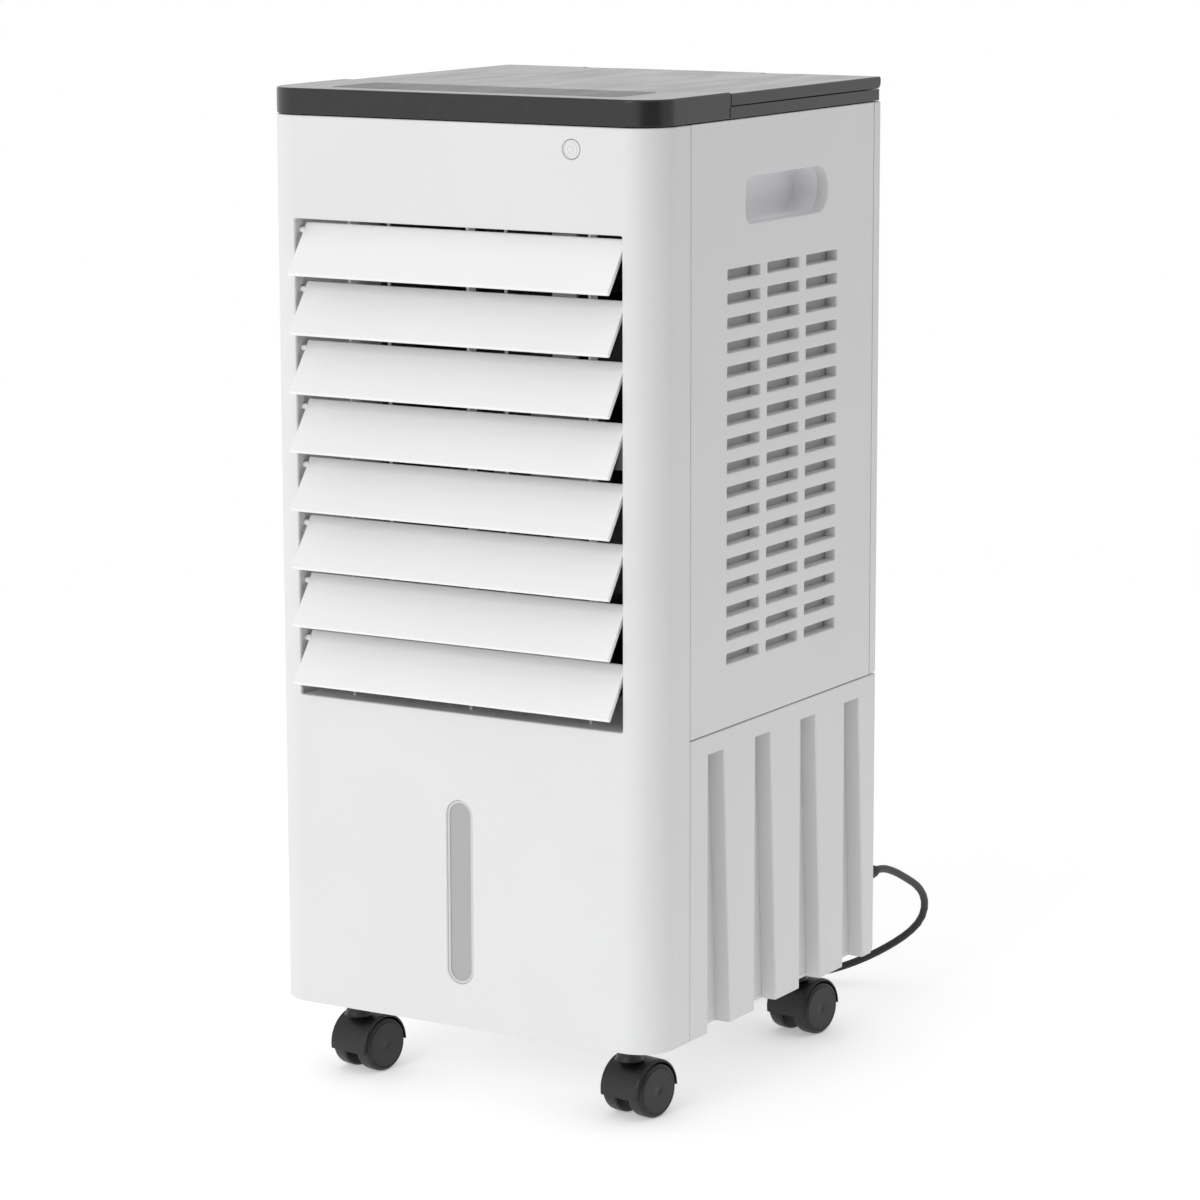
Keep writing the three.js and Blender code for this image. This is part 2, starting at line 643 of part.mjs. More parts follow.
// The end plate closes the bay, and its grip pocket hangs over the tub's low rear wall.
function tankFascia() {
  const plate = bodyDepth - rearRim;
  const grip = [tankGrip.z0, tankGrip.z1];
  const { half, depth } = tankGrip;
  const solids = [
    box(-tank.half, tank.half, plate, bodyDepth, tank.z0, tankBay.high - gap),
    box(-half - tank.t, half + tank.t, bodyDepth - depth - tank.t, plate + 1,
      grip[0] - tank.t, grip[1] + tank.t),
  ];
  const r = 12.9;
  return cut(joined(solids), [
    alongY(rounded(-half, half, ...grip, [r, r, r, r]), bodyDepth - depth, bodyDepth + 1, 4),
    alongY(bore(drain.x, drain.z, 10, 16), bodyDepth - 4.8, bodyDepth + 1),
    alongY(bore(drain.x, drain.z, 5.9, 12), plate - 1, bodyDepth),
  ]);
}

function drainPlug() {
  const head = bodyDepth - 4.5;
  const profile = [[0, 246], [5.2, 246], [5.6, 248], [5.6, head], [9.6, head], [9.6, 257],
    [8.6, 258], [0, 258]];
  return turnedY(profile, drain.x, drain.z, 16);
}

const pumpOutlet = [-96, 217];

function waterPump() {
  const [x, y] = pumpOutlet;
  const floor = tank.z0 + tank.t + gap;
  return joined([
    alongZ(rounded(-101, -63, 194, 234, [6, 6, 6, 6]), floor + 3, floor + 38, 3),
    ...[-94, -70].map((footX) => box(footX - 4, footX + 4, 200, 228, floor, floor + 4)),
    alongZ(circle(x, y, 4.4), floor + 30, 203.4),
  ]);
}

const [hoseX, hoseY] = [-110.5, pumpOutlet[1]];
const hoseRoute = [[-96, hoseY, 203.8], [-96, hoseY, 207], [-100, hoseY, 213.5],
  [-106.7, hoseY, 219.5], [hoseX, hoseY, 230], [hoseX, hoseY, 330], [hoseX, hoseY, 430],
  [hoseX, hoseY, 499], [-109.4, hoseY, 504.8], [-106.3, hoseY, 507.6], [-102.8, hoseY, 508]];

addPart('water_tank', waterTank(), tankPlastic);
addPart('tank_fascia', tankFascia(), tankPlastic);
addPart('drain_plug', drainPlug(), rubberBlack);
addPart('water_pump', waterPump(), blackMatt);
addPart('riser_hose', tube(hoseRoute, 3.2, 32), hoseClear);

// ---- Casters: a steel stem in the chassis, a hood that swivels on it and a pair of wheels.
function casterHood() {
  const across = 13.8;
  const web = 2.6;
  const axleZ = wheelRadius;
  const lower = outline([[-30, -10], [30, -10], [30, axleZ + 0.6], [-30, axleZ - 5]]);
  const hood = joined([
    alongX(circle(casterTrail, axleZ, 17.8, 18), -across, across),
    alongZ(circle(0, 0, 7), axleZ + 8, 40),
  ]);
  const space = bore(casterTrail, axleZ, 16.1, 18);
  const open = cut(hood, [
    alongX(space, web, across + 1),
    alongX(space, -across - 1, -web),
    alongX(lower, -across - 2, across + 2),
    alongZ(bore(0, 0, 4.3), 33.2, 41),
  ]);
  const eye = alongX(upright(casterTrail, axleZ - 5.5, axleZ + 12, 5.5), -web, web, 2);
  return open.add(eye).subtract(alongX(bore(casterTrail, axleZ, 2.3), -web - 1, web + 1));
}

function casterWheels() {
  const half = [[0, 14.6], [13.5, 14.3], [15.5, 12.6], [15.5, 4.6], [2, 4.6]];
  const profile = [...half, ...half.map(([r, h]) => [r, -h]).reverse()];
  return turnedX(profile.reverse(), 0, 0, 16);
}

for (const [row, y] of [['front', stemY[0]], ['rear', stemY[1]]]) {
  for (const [side, x] of [['left', -stemX], ['right', stemX]]) {
    const caster = new THREE.Group();
    caster.position.set(x, y, 0);
    caster.rotation.z = (casterTurn * Math.PI) / 180;
    cooler.add(caster);
    addPart(`caster_stem_${row}_${side}`, alongZ(circle(0, 0, 4), 33.5, 59), steel, caster);
    addPart(`caster_hood_${row}_${side}`, casterHood(), blackMatt, caster);
    const wheels = addPart(`caster_wheels_${row}_${side}`, casterWheels(), blackMatt, caster);
    wheels.position.set(0, casterTrail, wheelRadius);
  }
}

// ---- Mains lead: strain relief, free stretch, wound coil behind the case, tie and plug.
const [exitX, exitY, exitZ] = cordExit;
const [coilX, coilY] = coilCentre;
const lay = 2 * cordRadius + 0.1;        // from one turn to the next
const coilHalf = (coilColumns * lay) / 2;
const coilHeight = coilLayers * lay;
const outerTurn = coilRadius + coilHalf - lay / 2;
const firstLay = gap + cordRadius;
const reliefEnd = exitY + 20;
const cordRoute = [[exitX, reliefEnd + gap, exitZ], [exitX, 281, exitZ], [exitX, 291, 88.6],
  [116.2, 304, 83.8], [116.6, 318, 77], [116.8, 331, 70], [116.4, 341, 62], [114.5, 347.5, 52.5],
  [110, 350, 42.5], [102, 349.5, 33.5], [91, 346.5, 25], [78.5, 342.5, 17.3], [65.5, 338, 11],
  [52.5, 333.3, 6.4], [40, 329.6, 3.5], [coilX + 20, coilY + outerTurn, firstLay]];

function strainRelief() {
  const profile = [[0, 248], [4.2, 248], [4.2, exitY + gap], [5.6, exitY + gap], [5.6, exitY + 2],
    [4.3, exitY + 3], [3, reliefEnd], [0, reliefEnd]];
  return turnedY(profile, exitX, exitZ, 12);
}

function cordCoil() {
  const [r0, r1] = [coilRadius - coilHalf, coilRadius + coilHalf];
  const [z0, z1] = [gap, gap + coilHeight];
  const c = cordRadius;
  const section = [[r0 + c, z0], [r1 - c, z0], [r1, z0 + c], [r1, z1 - c], [r1 - c, z1],
    [r0 + c, z1], [r0, z1 - c], [r0, z0 + c], [r0 + c, z0]];
  return turnedZ(section, coilX, coilY, 26);
}

function cordTie() {
  const half = coilHalf + gap + 0.2;
  const high = coilHeight + 2 * gap + 0.2;
  const x = coilX + coilRadius;
  return box(x - half - 1, x + half + 1, coilY - 2, coilY + 2, 0.5, high + 1)
    .subtract(box(x - half, x + half, coilY - 3, coilY + 3, 0, high));
}

// The plug lies on the floor beside the coil, its tail against the last turn.
function mainsPlug() {
  const x = coilX - outerTurn - lay;
  const tail = coilY - 8;
  const z = 7.3;
  return joined([
    turnedY([[0, tail - 14], [3.6, tail - 14], [2.9, tail], [0, tail]], x, z, 10),
    alongY(rounded(x - 10, x + 10, z - 7, z + 7, [4, 4, 4, 4]), tail - 44, tail - 13, 2),
    ...[-6.6, 6.6].map((dx) => alongY(circle(x + dx, z, 2), tail - 62, tail - 43)),
  ]);
}

addPart('strain_relief', strainRelief(), blackMatt);
addPart('power_cord', tube(cordRoute, cordRadius, 32), rubberBlack);
addPart('cord_coil', cordCoil(), rubberBlack);
addPart('cord_tie', cordTie(), blackMatt);
addPart('mains_plug', mainsPlug(), blackMatt);

export default cooler;
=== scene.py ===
# A wheeled evaporative cooler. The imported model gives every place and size, and the pieces made
# here are its finished surfaces: the case mouldings, blades, lid, casters, tank and mains lead.
# Shapes are worked out in millimetres, y counted back from the front face and z up from the
# floor, and go into the row's metres as each mesh is made.
import bmesh
import bpy
import json
import math
import numpy as np
from mathutils import Matrix, Vector
from mathutils.geometry import tessellate_polygon


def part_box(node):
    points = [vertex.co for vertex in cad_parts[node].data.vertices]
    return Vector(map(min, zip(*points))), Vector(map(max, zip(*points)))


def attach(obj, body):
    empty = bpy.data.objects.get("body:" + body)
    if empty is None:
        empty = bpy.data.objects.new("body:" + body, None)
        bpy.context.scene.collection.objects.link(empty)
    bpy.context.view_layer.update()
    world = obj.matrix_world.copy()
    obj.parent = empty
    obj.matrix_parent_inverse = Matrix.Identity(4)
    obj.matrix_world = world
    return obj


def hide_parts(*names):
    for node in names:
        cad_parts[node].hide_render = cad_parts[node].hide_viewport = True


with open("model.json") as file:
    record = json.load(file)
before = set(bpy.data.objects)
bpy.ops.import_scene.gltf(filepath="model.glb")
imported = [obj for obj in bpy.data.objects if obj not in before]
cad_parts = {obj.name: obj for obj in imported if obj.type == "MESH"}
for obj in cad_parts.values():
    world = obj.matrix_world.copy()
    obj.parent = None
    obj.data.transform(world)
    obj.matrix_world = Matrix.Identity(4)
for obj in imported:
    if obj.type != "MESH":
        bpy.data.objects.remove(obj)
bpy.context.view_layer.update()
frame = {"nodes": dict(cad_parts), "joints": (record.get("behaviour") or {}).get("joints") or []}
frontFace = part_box("front_shell")[0][1]      # the front face's y in the row


def millimetres(node):      # a node's lowest and highest corners, in this script's millimetres
    corners = np.array(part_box(node), float) - [0, frontFace, 0]
    return corners * 1000


def inRow(points):      # and back to the row's metres
    return np.asarray(points, float) * 0.001 + [0, frontFace, 0]


# The camera stands in front and to the right, a little above the lid.
camera = {"eye": (1241.9, -1935.7, 709.0), "turn": 30.74, "dip": 10.39, "roll": -0.13, "lens": 128.32}


def setCamera(c):      # turned from +Y about the vertical, dipped below level, then rolled
    data = bpy.data.cameras.new("lens")
    data.lens = c["lens"]
    data.sensor_width = 36
    eye = bpy.data.objects.new("camera", data)

    def turned(degrees, axis):
        return Matrix.Rotation(math.radians(degrees), 4, axis)

    aim = turned(c["turn"], "Z") @ turned(90 - c["dip"], "X")
    eye.matrix_world = Matrix.Translation(inRow(c["eye"])) @ aim @ turned(c["roll"], "Z")
    bpy.context.scene.collection.objects.link(eye)
    bpy.context.scene.camera = eye


setCamera(camera)


# A wrapped shader socket takes + - * and gives Math nodes.
class Wire:
    def __init__(self, paint, socket):
        self.paint, self.socket = paint, socket

    def joinWith(self, operation, a, b):
        return self.paint.node("ShaderNodeMath", {"operation": operation}, {0: a, 1: b})

    def __add__(self, other):
        return self.joinWith("ADD", self, other)

    def __radd__(self, other):
        return self.joinWith("ADD", other, self)

    def __sub__(self, other):
        return self.joinWith("SUBTRACT", self, other)

    def __rsub__(self, other):
        return self.joinWith("SUBTRACT", other, self)

    def __mul__(self, other):
        return self.joinWith("MULTIPLY", self, other)

    def __rmul__(self, other):
        return self.joinWith("MULTIPLY", other, self)


class Nodes:
    def __init__(self, tree):
        self.tree = tree

    def node(self, kind, settings=None, inputs=None, out=0):
        made = self.tree.nodes.new(kind)
        for key, value in (settings or {}).items():
            setattr(made, key, value)
        self.fill(made, inputs or {})
        return Wire(self, made.outputs[out])

    def fill(self, made, inputs):      # link the wires and set the plain values
        for key, value in inputs.items():
            if isinstance(value, Wire):
                self.tree.links.new(value.socket, made.inputs[key])
            else:
                made.inputs[key].default_value = value

    def between(self, value, low, high, kind="LINEAR"):      # 0 below low, 1 above high
        return self.node("ShaderNodeMapRange", {"clamp": True, "interpolation_type": kind},
                         {"Value": value, "From Min": low, "From Max": high})

    def mix(self, share, a, b):      # between two colours; 0, 6, 7 and 2 are the node's colour sockets
        return self.node("ShaderNodeMix", {"data_type": "RGBA"}, {0: share, 6: a, 7: b}, out=2)


class Paint(Nodes):
    def __init__(self, name, color, roughness, metallic=0.0, **fixed):
        self.material = bpy.data.materials.new(name)
        self.material.use_nodes = True
        super().__init__(self.material.node_tree)
        self.shader = self.tree.nodes["Principled BSDF"]
        tint = (*color, 1.0)
        self.shader.inputs["Base Color"].default_value = tint
        self.shader.inputs["Roughness"].default_value = roughness
        self.shader.inputs["Metallic"].default_value = metallic
        for socket, value in fixed.items():
            self.shader.inputs[socket.replace("_", " ")].default_value = value
        self.material.diffuse_color = tint

    def place(self, scale=(1, 1, 1), turn=(0, 0, 0)):
        at = self.node("ShaderNodeTexCoord", out="Object")
        return self.node("ShaderNodeMapping", {}, {"Vector": at, "Scale": scale, "Rotation": turn})

    def noise(self, scale, detail=3.0, rough=0.55, where=None):
        where = where or self.place()
        return self.node("ShaderNodeTexNoise", {}, {"Vector": where, "Scale": scale, "Detail": detail,
                                                    "Roughness": rough})

    def feed(self, socket, wire):
        self.tree.links.new(wire.socket, self.shader.inputs[socket])

    def bump(self, height, strength, distance):
        self.feed("Normal", self.node("ShaderNodeBump", {}, {"Height": height, "Strength": strength,
                                                            "Distance": distance}))


def shaded(color, factor):
    return (*[channel * factor for channel in color], 1.0)


# Moulded plastic: a fine spark-eroded grain, slow variation in tone and in gloss.
def moulded(name, color, roughness, grain=0.12, tone=0.03, gloss=0.06, **fixed):
    paint = Paint(name, color, roughness, **fixed)
    slow = paint.noise(9.0, 2.0)
    fine = paint.noise(1500.0, 2.0)
    paint.feed("Base Color", paint.mix(paint.between(slow, 0.3, 0.7), shaded(color, 1 - tone),
                                       shaded(color, 1.0)))
    paint.feed("Roughness", roughness - gloss / 2 + gloss * paint.noise(38.0, 3.0))
    paint.bump(fine, grain, 0.0002)
    return paint.material


# A swing vane: its faces painted near black as shade, behind a pale leading edge, which is all that shows
# between the blades.
def shadeBehindEdge(name, color, edge, roughness, start, end):
    paint = Paint(name, color, roughness)
    at = paint.node("ShaderNodeSeparateXYZ", {}, {"Vector": paint.place()}, out="Y")
    # share is 0 along the front edge, which stays pale, and 1 behind it, where the faces get the painted
    # shade
    share = paint.between(at + 0.0006 * paint.noise(90.0), start, end)
    paint.feed("Base Color", paint.mix(share, (*edge, 1.0), (*color, 1.0)))
    paint.feed("Roughness", roughness + 0.08 * paint.noise(160.0))
    paint.bump(paint.noise(1500.0, 2.0), 0.1, 0.0002)
    return paint.material


# Polished plastic: a clear coat over a smooth ground, with faint wiping marks in its gloss.
def polished(name, color, roughness, coat=0.5, wipes=0.06, level=0.5):
    paint = Paint(name, color, roughness, Coat_Weight=coat, Coat_Roughness=0.05, Specular_IOR_Level=level)
    streaks = paint.noise(60.0, 4.0, 0.6, paint.place((1.0, 0.18, 1.0), (0, 0, 0.5)))
    paint.feed("Roughness", roughness + wipes * paint.between(streaks, 0.4, 0.75))
    paint.feed("Base Color", paint.mix(paint.between(paint.noise(700.0, 1.0), 0.45, 0.8), shaded(color, 1.0),
                                       shaded(color, 1.25)))
    paint.bump(paint.noise(5.0, 1.0), 0.04, 0.001)
    return paint.material


# Frosted tank plastic: milky, with a cloudy thickness and a fine grain.
def frosted(name, color, roughness):
    paint = Paint(name, color, roughness, Subsurface_Weight=0.15, Subsurface_Scale=0.004)
    cloud = paint.between(paint.noise(28.0, 4.0), 0.35, 0.7)
    paint.feed("Base Color", paint.mix(cloud, shaded(color, 0.93), shaded(color, 1.0)))
    paint.feed("Roughness", roughness + 0.12 * paint.noise(220.0, 3.0))
    paint.bump(paint.noise(1100.0, 2.0), 0.15, 0.0002)
    return paint.material


# Corrugated paper: slanting flutes painted darker in their valleys as shade, fibres, and darker streaks where
# water has run.
def corrugated(name, color):
    paint = Paint(name, color, 0.9)
    flutes = paint.node("ShaderNodeTexWave", {"wave_type": "BANDS", "bands_direction": "X"},
                        {"Vector": paint.place(turn=(0, 0.785, 0)), "Scale": 46.0, "Distortion": 1.2,
                         "Detail": 2.0, "Detail Scale": 1.5}, out="Fac")
    stain = paint.between(paint.noise(14.0, 4.0, 0.6, paint.place((1, 1, 0.3))), 0.35, 0.75)
    # the colour falls to about a third in each flute's valley: painted shade
    fluteShade = paint.mix(flutes, shaded(color, 0.35), shaded(color, 1.0))
    paint.feed("Base Color", paint.mix(stain * 0.4, fluteShade, shaded(color, 0.55)))
    paint.bump(flutes + 0.3 * paint.noise(900.0, 3.0), 0.6, 0.0015)
    return paint.material


# Turned or pressed metal: fine lines across one axis.
def worked(name, color, roughness, stretch=(1, 1, 0.05), metallic=1.0):
    paint = Paint(name, color, roughness, metallic)
    lines = paint.noise(900.0, 3.0, 0.6, paint.place(stretch))
    paint.feed("Roughness", roughness + 0.2 * lines)
    paint.feed("Base Color", paint.mix(lines, shaded(color, 0.8), shaded(color, 1.0)))
    paint.bump(lines, 0.1, 0.0001)
    return paint.material


# Circuit board: green lacquer with lighter tracks and tinned pads.
def circuit(name, color):
    paint = Paint(name, color, 0.35)
    tracks = paint.node("ShaderNodeTexBrick", {}, {"Vector": paint.place((1, 1, 0)), "Scale": 90.0,
                                                  "Mortar Size": 0.06}, out="Fac")
    pads = paint.between(paint.node("ShaderNodeTexVoronoi", {}, {"Vector": paint.place(), "Scale": 240.0},
                                    out="Distance"), 0.28, 0.22)
    lacquer = paint.mix(tracks, shaded(color, 0.7), shaded(color, 1.5))
    paint.feed("Base Color", paint.mix(pads, lacquer, (0.6, 0.6, 0.58, 1)))
    paint.feed("Metallic", 0.8 * pads)
    paint.feed("Roughness", 0.4 - 0.1 * pads)
    return paint.material


finishes = {
    "caseWhite": moulded("caseWhite", (0.735, 0.738, 0.74), 0.42),
    # the grip cup's white is paler than the case's, painted light that lifts the shade inside the pocket
    "cupWhite": moulded("cupWhite", (0.93, 0.93, 0.955), 0.5),
    # the blades' white is paler than the case's: painted light for the light they catch, tilted up towards
    # the front
    "bladeWhite": moulded("bladeWhite", (0.90, 0.902, 0.904), 0.36, grain=0.06),
    "linerGrey": moulded("linerGrey", (0.52, 0.525, 0.53), 0.55),
    "ductWhite": moulded("ductWhite", (0.78, 0.783, 0.785), 0.5),
    "ductGrey": moulded("ductGrey", (0.045, 0.046, 0.048), 0.6),
    # the vanes' faces are painted dark as shade; only their front millimetre keeps a pale tone
    "vaneEdge": shadeBehindEdge("vaneEdge", (0.03, 0.03, 0.031), (0.62, 0.622, 0.625), 0.5,
                      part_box("swing_vane_1")[0][1] + 0.0006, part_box("swing_vane_1")[0][1] + 0.0016),
    "lidBlack": polished("lidBlack", (0.021, 0.021, 0.0215), 0.2, coat=0.0, level=0.44),
    "filmBlack": polished("filmBlack", (0.012, 0.012, 0.0125), 0.3, coat=0.0, level=0.2),
    "casterBlack": moulded("casterBlack", (0.0055, 0.0055, 0.0058), 0.4, grain=0.2, tone=0.1, gloss=0.12),
    "leadBlack": moulded("leadBlack", (0.013, 0.013, 0.013), 0.5, grain=0.25, tone=0.15, gloss=0.15),
    "windowGrey": moulded("windowGrey", (0.40, 0.402, 0.405), 0.3, grain=0.03),
    "lensGrey": moulded("lensGrey", (0.60, 0.602, 0.605), 0.3, grain=0.03),
    "markGrey": moulded("markGrey", (0.42, 0.42, 0.42), 0.5, grain=0.0),
    "tankMilk": frosted("tankMilk", (0.74, 0.765, 0.775), 0.34),
    "padBrown": corrugated("padBrown", (0.42, 0.27, 0.12)),
    "brightSteel": worked("brightSteel", (0.62, 0.63, 0.64), 0.25),
    "motorGrey": worked("motorGrey", (0.34, 0.35, 0.36), 0.4, (1, 0.05, 1), 0.7),
    "boardGreen": circuit("boardGreen", (0.02, 0.11, 0.05)),
    "hoseClear": frosted("hoseClear", (0.66, 0.69, 0.70), 0.25),
}
print("finishes", len(finishes))


# Every part of a piece is a pair of points and faces.
gap = 0.3      # the clearance between neighbouring pieces
skin = 2.0      # the wall behind a pocket


def loft(rings, closed=True):      # quads between successive rings of an (m, n, 3) array
    rows, columns = rings.shape[:2]
    i, j = np.meshgrid(np.arange(rows - 1), np.arange(columns if closed else columns - 1), indexing="ij")
    after = (j + 1) % columns
    quads = np.stack([i * columns + j, i * columns + after, (i + 1) * columns + after,
                      (i + 1) * columns + j], -1)
    return rings.reshape(-1, 3), quads.reshape(-1, 4).tolist()


def filled(loops, depth, put):      # a flat face between an outline and the holes in it
    flat = np.concatenate(loops)
    corners = tessellate_polygon([[Vector((a, b, 0)) for a, b in loop] for loop in loops])
    return put(flat[:, 0], flat[:, 1], np.full(len(flat), depth)), [list(c) for c in corners]


def roundRect(a0, a1, b0, b1, radii, steps=6):
    # Four quarter circles joined by straight sides; grow moves every side out by that much.
    radii = np.broadcast_to(np.asarray(radii, float), 4)
    turn = np.radians(np.linspace(0, 90, steps + 1))

    def outline(grow=0.0):
        rounds = []
        for a, b, inA, inB, radius, start in ((a0, b0, 1, 1, radii[0], 180), (a1, b0, -1, 1, radii[1], 270),
                                              (a1, b1, -1, -1, radii[2], 0), (a0, b1, 1, -1, radii[3], 90)):
            reach, angle = max(radius + grow, 0.02), turn + math.radians(start)
            rounds.append(np.column_stack([a + inA * radius + reach * np.cos(angle),
                                           b + inB * radius + reach * np.sin(angle)]))
        return np.concatenate(rounds)
    return outline


def ringOf(a, b, radius, count=32):
    angle = np.linspace(0, 2 * np.pi, count, endpoint=False)
    return lambda grow=0.0: np.column_stack([a + (radius + grow) * np.cos(angle),
                                             b + (radius + grow) * np.sin(angle)])


def bent(corners):      # a straight-sided outline; grow moves each side out along its own normal
    points = np.asarray(corners, float)
    along = np.roll(points, -1, 0) - points
    out = np.column_stack([along[:, 1], -along[:, 0]]) / np.linalg.norm(along, axis=1)[:, None]
    before = np.roll(out, 1, 0)
    push = (out + before) / (1 + np.sum(out * before, 1))[:, None]
    return lambda grow=0.0: points + grow * push


def rolled(low, high, rim, steps=3):      # levels of a slab whose two edges are rounded by rim
    turn = np.radians(np.linspace(0, 90, steps + 1))
    foot = [(-rim * (1 - math.sin(t)), low + rim * (1 - math.cos(t))) for t in turn]
    head = [(-rim * (1 - math.cos(t)), high - rim * (1 - math.sin(t))) for t in turn]
    return foot + head


def walls(outline, levels, put):      # an outline carried through (grow, depth) levels
    return loft(np.stack([put(*outline(grow).T, np.full(len(outline(0)), depth)) for grow, depth in levels]))


def slab(outline, levels, put):      # walls with both ends filled
    (firstGrow, first), (lastGrow, last) = levels[0], levels[-1]
    return [walls(outline, levels, put), filled([outline(firstGrow)], first, put),
            filled([outline(lastGrow)], last, put)]


def plate(outer, holes, thick, rim, put, pockets=()):
    # A flat board. Every edge of its face rolls over by rim and runs straight to the back. A hole
    # goes right through; a pocket (outline, depth, floorRim) has a rounded floor and a wall behind.
    turn = np.radians(np.linspace(0, 90, 4))
    lip = [(rim * (1 - math.sin(t)), rim * (1 - math.cos(t))) for t in turn]
    parts = []
    for outline, sign in [(outer, -1)] + [(hole, 1) for hole in holes]:
        parts.append(walls(outline, [(sign * grow, depth) for grow, depth in lip] + [(0.0, thick)], put))
    for outline, depth, floorRim in pockets:
        bowl = [(-floorRim * (1 - math.cos(t)), depth - floorRim * (1 - math.sin(t))) for t in turn]
        parts.append(walls(outline, lip + bowl, put))
        parts.append(filled([outline(-floorRim)], depth, put))
        parts.append(walls(outline, [(skin, thick), (skin, depth + skin)], put))
        parts.append(filled([outline(skin)], depth + skin, put))
    faceHoles = [h(rim) for h in holes] + [p[0](rim) for p in pockets]
    backHoles = [h(0.0) for h in holes] + [p[0](skin) for p in pockets]
    parts.append(filled([outer(-rim)] + faceHoles, 0.0, put))
    parts.append(filled([outer(0.0)] + backHoles, thick, put))
    return parts


def spun(profile, put, count=48):      # a profile of (radius, height) turned about its axis
    angle = np.linspace(0, 2 * np.pi, count, endpoint=False)
    radius, height = np.asarray(profile, float).T
    rings = put(radius[:, None] * np.cos(angle), radius[:, None] * np.sin(angle),
                height[:, None] + 0 * angle)
    return [loft(rings)]


def facingX(x):      # outline in (y, z), depth inwards from the side at x
    return lambda a, b, d: np.stack([x - np.sign(x) * d, a, b], -1)


def facingBack(y):      # outline in (x, z), depth forwards from the back face at y
    return lambda a, b, d: np.stack([a, y - d, b], -1)


def facingUp(z):      # outline in (x, y), depth down from a top face at z
    return lambda a, b, d: np.stack([a, b, z - d], -1)


def aboutY(x, z):      # turned about the line along y through (x, z)
    return lambda a, b, d: np.stack([x + a, d, z + b], -1)


def aboutX(y, z):      # turned about the line along x through (y, z)
    return lambda a, b, d: np.stack([d, y + a, z + b], -1)


def upX(a, b, d):      # outline in (y, z), carried along x
    return np.stack([d + 0 * a, a, b], -1)


def upY(a, b, d):      # outline in (x, z), carried along y
    return np.stack([a, d + 0 * a, b], -1)


def upZ(a, b, d):      # outline in (x, y), carried up
    return np.stack([a, b, d + 0 * a], -1)


def shifted(put, by):
    return lambda a, b, d: put(a, b, d) + np.asarray(by, float)


def piece(name, parts, body, finish, replaced=(), sharp=38.0):
    points, faces, start = [], [], 0
    for ring, corners in parts:
        points.append(ring)
        faces += [[index + start for index in face] for face in corners]
        start += len(ring)
    mesh = bpy.data.meshes.new(name)
    mesh.from_pydata(inRow(np.concatenate(points)).tolist(), [], faces)
    work = bmesh.new()
    work.from_mesh(mesh)
    bmesh.ops.remove_doubles(work, verts=work.verts, dist=4e-6)
    bmesh.ops.dissolve_degenerate(work, edges=work.edges, dist=1e-7)
    bmesh.ops.recalc_face_normals(work, faces=work.faces)
    work.to_mesh(mesh)
    work.free()
    mesh.shade_smooth()
    mesh.set_sharp_from_angle(angle=math.radians(sharp))
    made = bpy.data.objects.new(name, mesh)
    bpy.context.scene.collection.objects.link(made)
    made.data.materials.append(finishes[finish])
    even = made.modifiers.new("evenShading", "WEIGHTED_NORMAL")
    even.keep_sharp = True
    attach(made, body)
    if replaced:
        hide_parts(*replaced)
    return made


# The mains lead comes first, because its room is limited.
lead = {"radius": 2.3, "coil": (8, 300), "middle": 25, "columns": 2, "layers": 4, "clearance": 0.3,
        "exit": (116, 278.3, 90.5), "stretchPoints": 34, "turnPoints": 30, "pastLastTurn": 2}


def smoothed(points, count):      # a Catmull-Rom curve through the points, at even steps of its length
    p = np.asarray(points, float)
    p = np.concatenate([[2 * p[0] - p[1]], p, [2 * p[-1] - p[-2]]])
    t = np.linspace(0, 1, 16, endpoint=False)[None, :, None]
    a, b, c, d = (p[k:len(p) - 3 + k, None] for k in range(4))
    curve = 0.5 * (2 * b + (c - a) * t + (2 * a - 5 * b + 4 * c - d) * t ** 2
                   + (3 * b - a - 3 * c + d) * t ** 3)
    curve = np.concatenate([curve.reshape(-1, 3), p[-2:-1]])
    run = np.concatenate([[0], np.cumsum(np.linalg.norm(np.diff(curve, axis=0), axis=1))])
    at = np.linspace(0, run[-1], count)
    return np.column_stack([np.interp(at, run, curve[:, k]) for k in range(3)])


